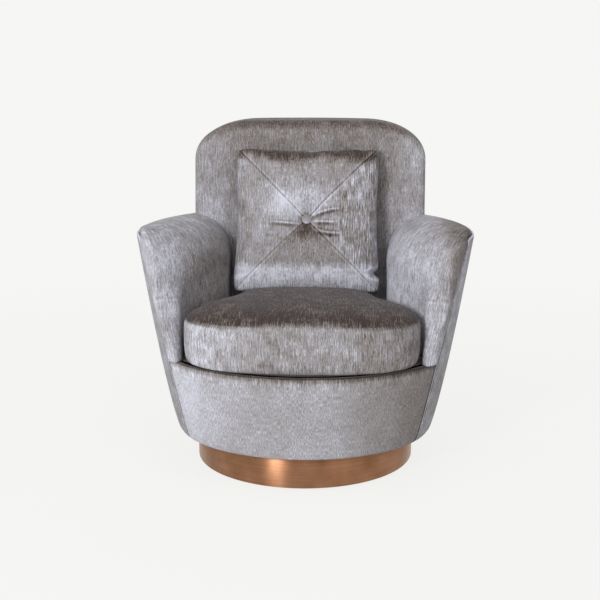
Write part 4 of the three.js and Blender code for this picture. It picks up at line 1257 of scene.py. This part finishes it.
def scatter_height(x, z):
    """How far the surface rises above the plain cushion, seen from the front."""
    reach = np.hypot(x, z)
    height = -tuft_depth * hump(reach, 0.0, tuft_spread)
    sewn = hump(scatter_seams(x, z), 0.0, seam_width) * smooth((reach - 0.012) / 0.02)
    height = height - seam_depth * sewn * (1 - smooth((reach - 0.22) / 0.05))
    for start, end, width, rise, bow in pleats:
        height = height + rise * ridge(x, z, start, end, width, bow)
    corner = smooth((np.abs(x) + np.abs(z) - 0.28) / 0.09)
    bunched = 1 + 1.3 * (x > 0) * (z < 0)
    fan = np.sin(9 * np.arctan2(np.abs(z) - 0.14, np.abs(x) - 0.14) + 40 * reach)
    waves = np.sin(150 * x + 40 * z) * smooth((np.abs(z) - 0.165) / 0.03)
    return height + crumple * corner * bunched * fan + ripple * waves * (1 - corner)


x, y, z = scatter_from_chair(vertex_arrays(scatter)[0])
lift = scatter_height(x, z)
y = np.where(np.abs(y) > rim, y + np.sign(y) * lift, y)
x = x - notch_depth * smooth((x - 0.165) / 0.025) * hump(z, notch_z, notch_width)
z = z - sag_depth * smooth((z - 0.16) / 0.03) * (hump(x, 0.01, 0.02) + hump(x, 0.155, 0.012))
move_points(scatter, scatter_to_chair(x, y, z))
print("deepest point of the dimple:", round(float(lift.min()), 4))

# %% The pile of its triangles, with painted highlights and shadows
triangle_piles = {"top": 0.56, "bottom": 0.5, "right": 0.6, "left": 0.62}
fold_shadow = (0, 0.0065)


def scatter_pile_and_painted_light(x, z, normals):
    """Each triangle was cut and brushed its own way, so each has its own share, with bright patches; pleats,
    seams and the button get painted highlights and shadows, and faces that look up painted shade.
    """
    is_triangle = {"top": z > np.abs(x), "bottom": z < -np.abs(x), "right": x > np.abs(z)}
    shares = [triangle_piles[name] for name in is_triangle]
    level = np.select(list(is_triangle.values()), shares, triangle_piles["left"])
    level = level + 0.36 * hump(x, -0.035, 0.075) * hump(z, 0.045, 0.045)
    level = level + 0.36 * smooth((-0.11 - z) / 0.03)
    level = level - 0.27 * smooth((z - 0.150 - 0.012 * np.sin(31 * x)) / 0.022)
    level = level - 0.2 * hump(x, 0.0, 0.05) * hump(z, -0.035, 0.025)
    # Each pleat gets a painted highlight on its ridge and a painted shadow just below it.
    for start, end, width, _, bow in pleats:
        start, end = np.array(start), np.array(end)
        level = level + 0.32 * ridge(x, z, start, end, width * 0.8, bow)
        level = level - 0.38 * ridge(x, z, start - fold_shadow, end - fold_shadow, width, bow)
    # A painted shadow round the button, where the dimple falls away.
    level = level - 0.35 * hump(np.hypot(x, z), 0.0150, 0.0040)
    seams = scatter_seams(x, z)
    # Painted shade in each sewn groove, with a painted highlight on the lip beside it.
    level = level - 0.4 * hump(seams, 0.0, 0.0014) + 0.22 * hump(seams, 0.0036, 0.0018)
    # Painted shade on faces that look up.
    return level - 0.25 * smooth((normals[:, 2] - 0.35) / 0.5)


def scatter_creases(x, z):
    """The pile of the right triangle and of the outer edges is crushed most."""
    right = smooth((x - np.abs(z)) / 0.02) * smooth((x - 0.05) / 0.06)
    edges = smooth((np.maximum(np.abs(x), np.abs(z)) - 0.15) / 0.04)
    return 0.8 + 1.2 * np.maximum(right, 0.6 * edges)


places, normals = vertex_arrays(scatter)
x, _, z = scatter_from_chair(places)
store_pile_and_painted_light(scatter_piece, scatter_pile_and_painted_light(x, z, normals), scatter_creases(x, z))
add_subdivision(scatter_piece)

# %% [markdown]
# ## Covered buttons
#
# A covered button is a domed metal shell with velvet drawn over it. Its cloth is gathered behind, so faint
# folds run in from the rim. A flattened sphere would lack them. So a profile is turned round an axis, which
# gives the dome, and its radius waves slightly near the rim.

# %% The two buttons
button_radius = 0.0115
button_base = 0.0262
button_height = 0.0072
button_folds, fold_height = 11, 0.03
button_sides = 66
skirt_share = 0.25


def button_grid(side):
    """A quarter-ellipse dome turned round the cushion's own depth; its folds fade towards the middle."""
    angle = np.linspace(0, 2 * math.pi, button_sides + 1)[None, :]
    climb = np.linspace(0, math.pi / 2, 16)
    rise = np.concatenate([np.zeros(3), climb])[:, None]
    radius = np.concatenate([[0.0, 0.6, 0.93], np.cos(climb) ** 0.8])[:, None]
    fold = 1 + fold_height * np.cos(button_folds * angle) * radius**4
    x, z = button_radius * radius * fold * np.cos(angle), button_radius * radius * fold * np.sin(angle)
    depth = button_base + button_height * (skirt_share * (rise > 0) + (1 - skirt_share) * np.sin(rise))
    return scatter_to_chair(x, side * depth, z)


for name, side in (("button_front", -1), ("button_back", 1)):
    mesh = make_mesh(f"covered_{name}", [button_grid(side)])
    piece = add_piece(mesh, "scatter_cushion", "velvet", name)
    _, normals = vertex_arrays(mesh)
    # Painted shade: the button's top, which looks up, is darker, and its lower side lighter.
    store_pile_and_painted_light(piece, 0.6 + 0.4 * smooth(0.5 - normals[:, 2]))
print("buttons ready")

# %% [markdown]
# ## The copper plinth
#
# The plinth is clad in a strip of brushed copper, bent into a drum and turned in at its foot. A plain
# cylinder would have no thickness, and its edges would catch no light. So the strip is a closed profile
# with small bevels, turned round the swivel's axis. Its narrow upright highlight comes from the drum's
# shape; fine brush lines running round it stretch that highlight.

# %% Brushed copper
copper_dark, copper_light = linear(150, 107, 78), linear(178, 131, 100)
copper_line, line_share = linear(114, 78, 55), 0.45


def copper_material():
    """Lines that run round the drum in colour, roughness and relief, and a slight warm patina."""
    material, tree, shader = new_material("brushed_copper")
    place = add_node(tree, "ShaderNodeTexCoord").outputs["Object"]
    brush = noise(tree, place, (4.0, 4.0, 900.0), 3.0)
    patina = stretched(tree, noise(tree, place, 14.0, 4.0), 0.35, 0.65)
    lines = math_node(tree, "MULTIPLY", stretched(tree, brush, 0.35, 0.7), line_share)
    shade = mix_colours(tree, lines, mix_colours(tree, patina, copper_dark, copper_light), copper_line)
    tree.links.new(shade, shader.inputs["Base Color"])
    upright = add_node(tree, "ShaderNodeCombineXYZ", {2: 1.0}).outputs[0]
    tree.links.new(upright, shader.inputs["Tangent"])
    tree.links.new(stretched(tree, brush, 0.0, 1.0, 0.36, 0.44), shader.inputs["Roughness"])
    shader.inputs["Anisotropic"].default_value = 0.97
    shader.inputs["Metallic"].default_value = 1.0
    emboss(tree, shader, brush, 0.12, 0.0003)
    return material


finishes["copper"] = copper_material()

# %% The band's profile, turned
band_outside, band_thickness = 0.285, 0.0015
band_inside = band_outside - band_thickness
band_bottom, band_top, band_hem = 0.004, 0.086, 0.007
band_edge = 0.0006
band_sides = 180
crisp_angle = math.radians(40)
band_profile = np.array(
    [
        [band_inside - band_hem, band_bottom],
        [band_outside - 3 * band_edge, band_bottom],
        [band_outside - band_edge, band_bottom + band_edge],
        [band_outside, band_bottom + 3 * band_edge],
        [band_outside, band_top - 2 * band_edge],
        [band_outside - band_edge, band_top],
        [band_inside, band_top],
        [band_inside, band_bottom + band_thickness],
        [band_inside - band_hem, band_bottom + band_thickness],
        [band_inside - band_hem, band_bottom],
    ]
)
angle = np.linspace(0, 2 * math.pi, band_sides + 1)[None, :]
radius, height = band_profile[:, :1], band_profile[:, 1:]
mesh = make_mesh("copper_band", [points_of(radius * np.cos(angle), radius * np.sin(angle), height)])
piece = add_piece(mesh, "base", "copper", "plinth_band")
crisp = piece.modifiers.new("crisp edges", "EDGE_SPLIT")
crisp.split_angle = crisp_angle
print("band points:", len(mesh.vertices))

# %% [markdown]
# ## Finishes of the parts inside
#
# The boards, posts, springs and the swivel keep their solids, which already have the right shapes. Pictures
# of wood or steel would need a map for every face. Noise in the object's own coordinates needs none, so the
# finishes are made of that: beech with upright grain, layered plywood, zinc-plated steel, black nylon,
# foam, and the black non-woven cloth that closes the underside.

# %% Wood, plywood, steel, nylon and dust cloth
fibre_fineness, fibre_share = 9.0, 0.35


def grain_material(name, dark, light, features, roughness):
    """Long noise along the grain, broken by finer noise, mixed between two wood colours."""
    material, tree, shader = new_material(name)
    place = add_node(tree, "ShaderNodeTexCoord").outputs["Object"]
    rings = noise(tree, place, features, 6.0)
    fibres = noise(tree, place, np.multiply(features, fibre_fineness), 2.0)
    grain = stretched(tree, weighed(tree, rings, fibres, fibre_share), 0.5, 0.85)
    tree.links.new(mix_colours(tree, grain, linear(*dark), linear(*light)), shader.inputs["Base Color"])
    shader.inputs["Roughness"].default_value = roughness
    emboss(tree, shader, grain, 0.2, 0.0005)
    return material


def speckled_material(name, dark, light, features, roughness, metallic=0.0, depth=0.0004):
    """Fine noise mixed between two colours, with the same noise as a slight relief."""
    material, tree, shader = new_material(name)
    place = add_node(tree, "ShaderNodeTexCoord").outputs["Object"]
    speck = noise(tree, place, features, 4.0)
    tree.links.new(mix_colours(tree, speck, linear(*dark), linear(*light)), shader.inputs["Base Color"])
    shader.inputs["Roughness"].default_value = roughness
    shader.inputs["Metallic"].default_value = metallic
    emboss(tree, shader, speck, 0.3, depth)
    return material


finishes["timber"] = grain_material("beech_wood", (150, 112, 74), (196, 156, 110), (30, 30, 4), 0.6)
finishes["plywood"] = grain_material("birch_plywood", (186, 150, 104), (220, 192, 150), (12, 12, 90), 0.6)
finishes["steel"] = speckled_material("zinc_plated_steel", (130, 132, 136), (168, 170, 174), 60, 0.38, 1.0)
finishes["nylon"] = speckled_material("black_nylon", (28, 28, 30), (44, 44, 47), 220, 0.5)
finishes["black_cloth"] = speckled_material("dust_cloth", (20, 20, 22), (40, 40, 43), 900, 0.95)
finishes["foam"] = speckled_material(
    "upholstery_foam", (214, 202, 160), (232, 222, 184), 500, 0.95, depth=0.001
)
print("finishes:", sorted(finishes))

# %% Give every carried-over solid the finish of its slot
slot_of = {entry["node"]: entry["material_slot"] for entry in frame["record"]["subparts"]}
for name, solid in nodes.items():
    materials = solid.data.materials
    if not materials:
        materials.append(None)
    for index in range(len(materials)):
        materials[index] = finishes[slot_of[name]]
print("solids:", len(nodes))
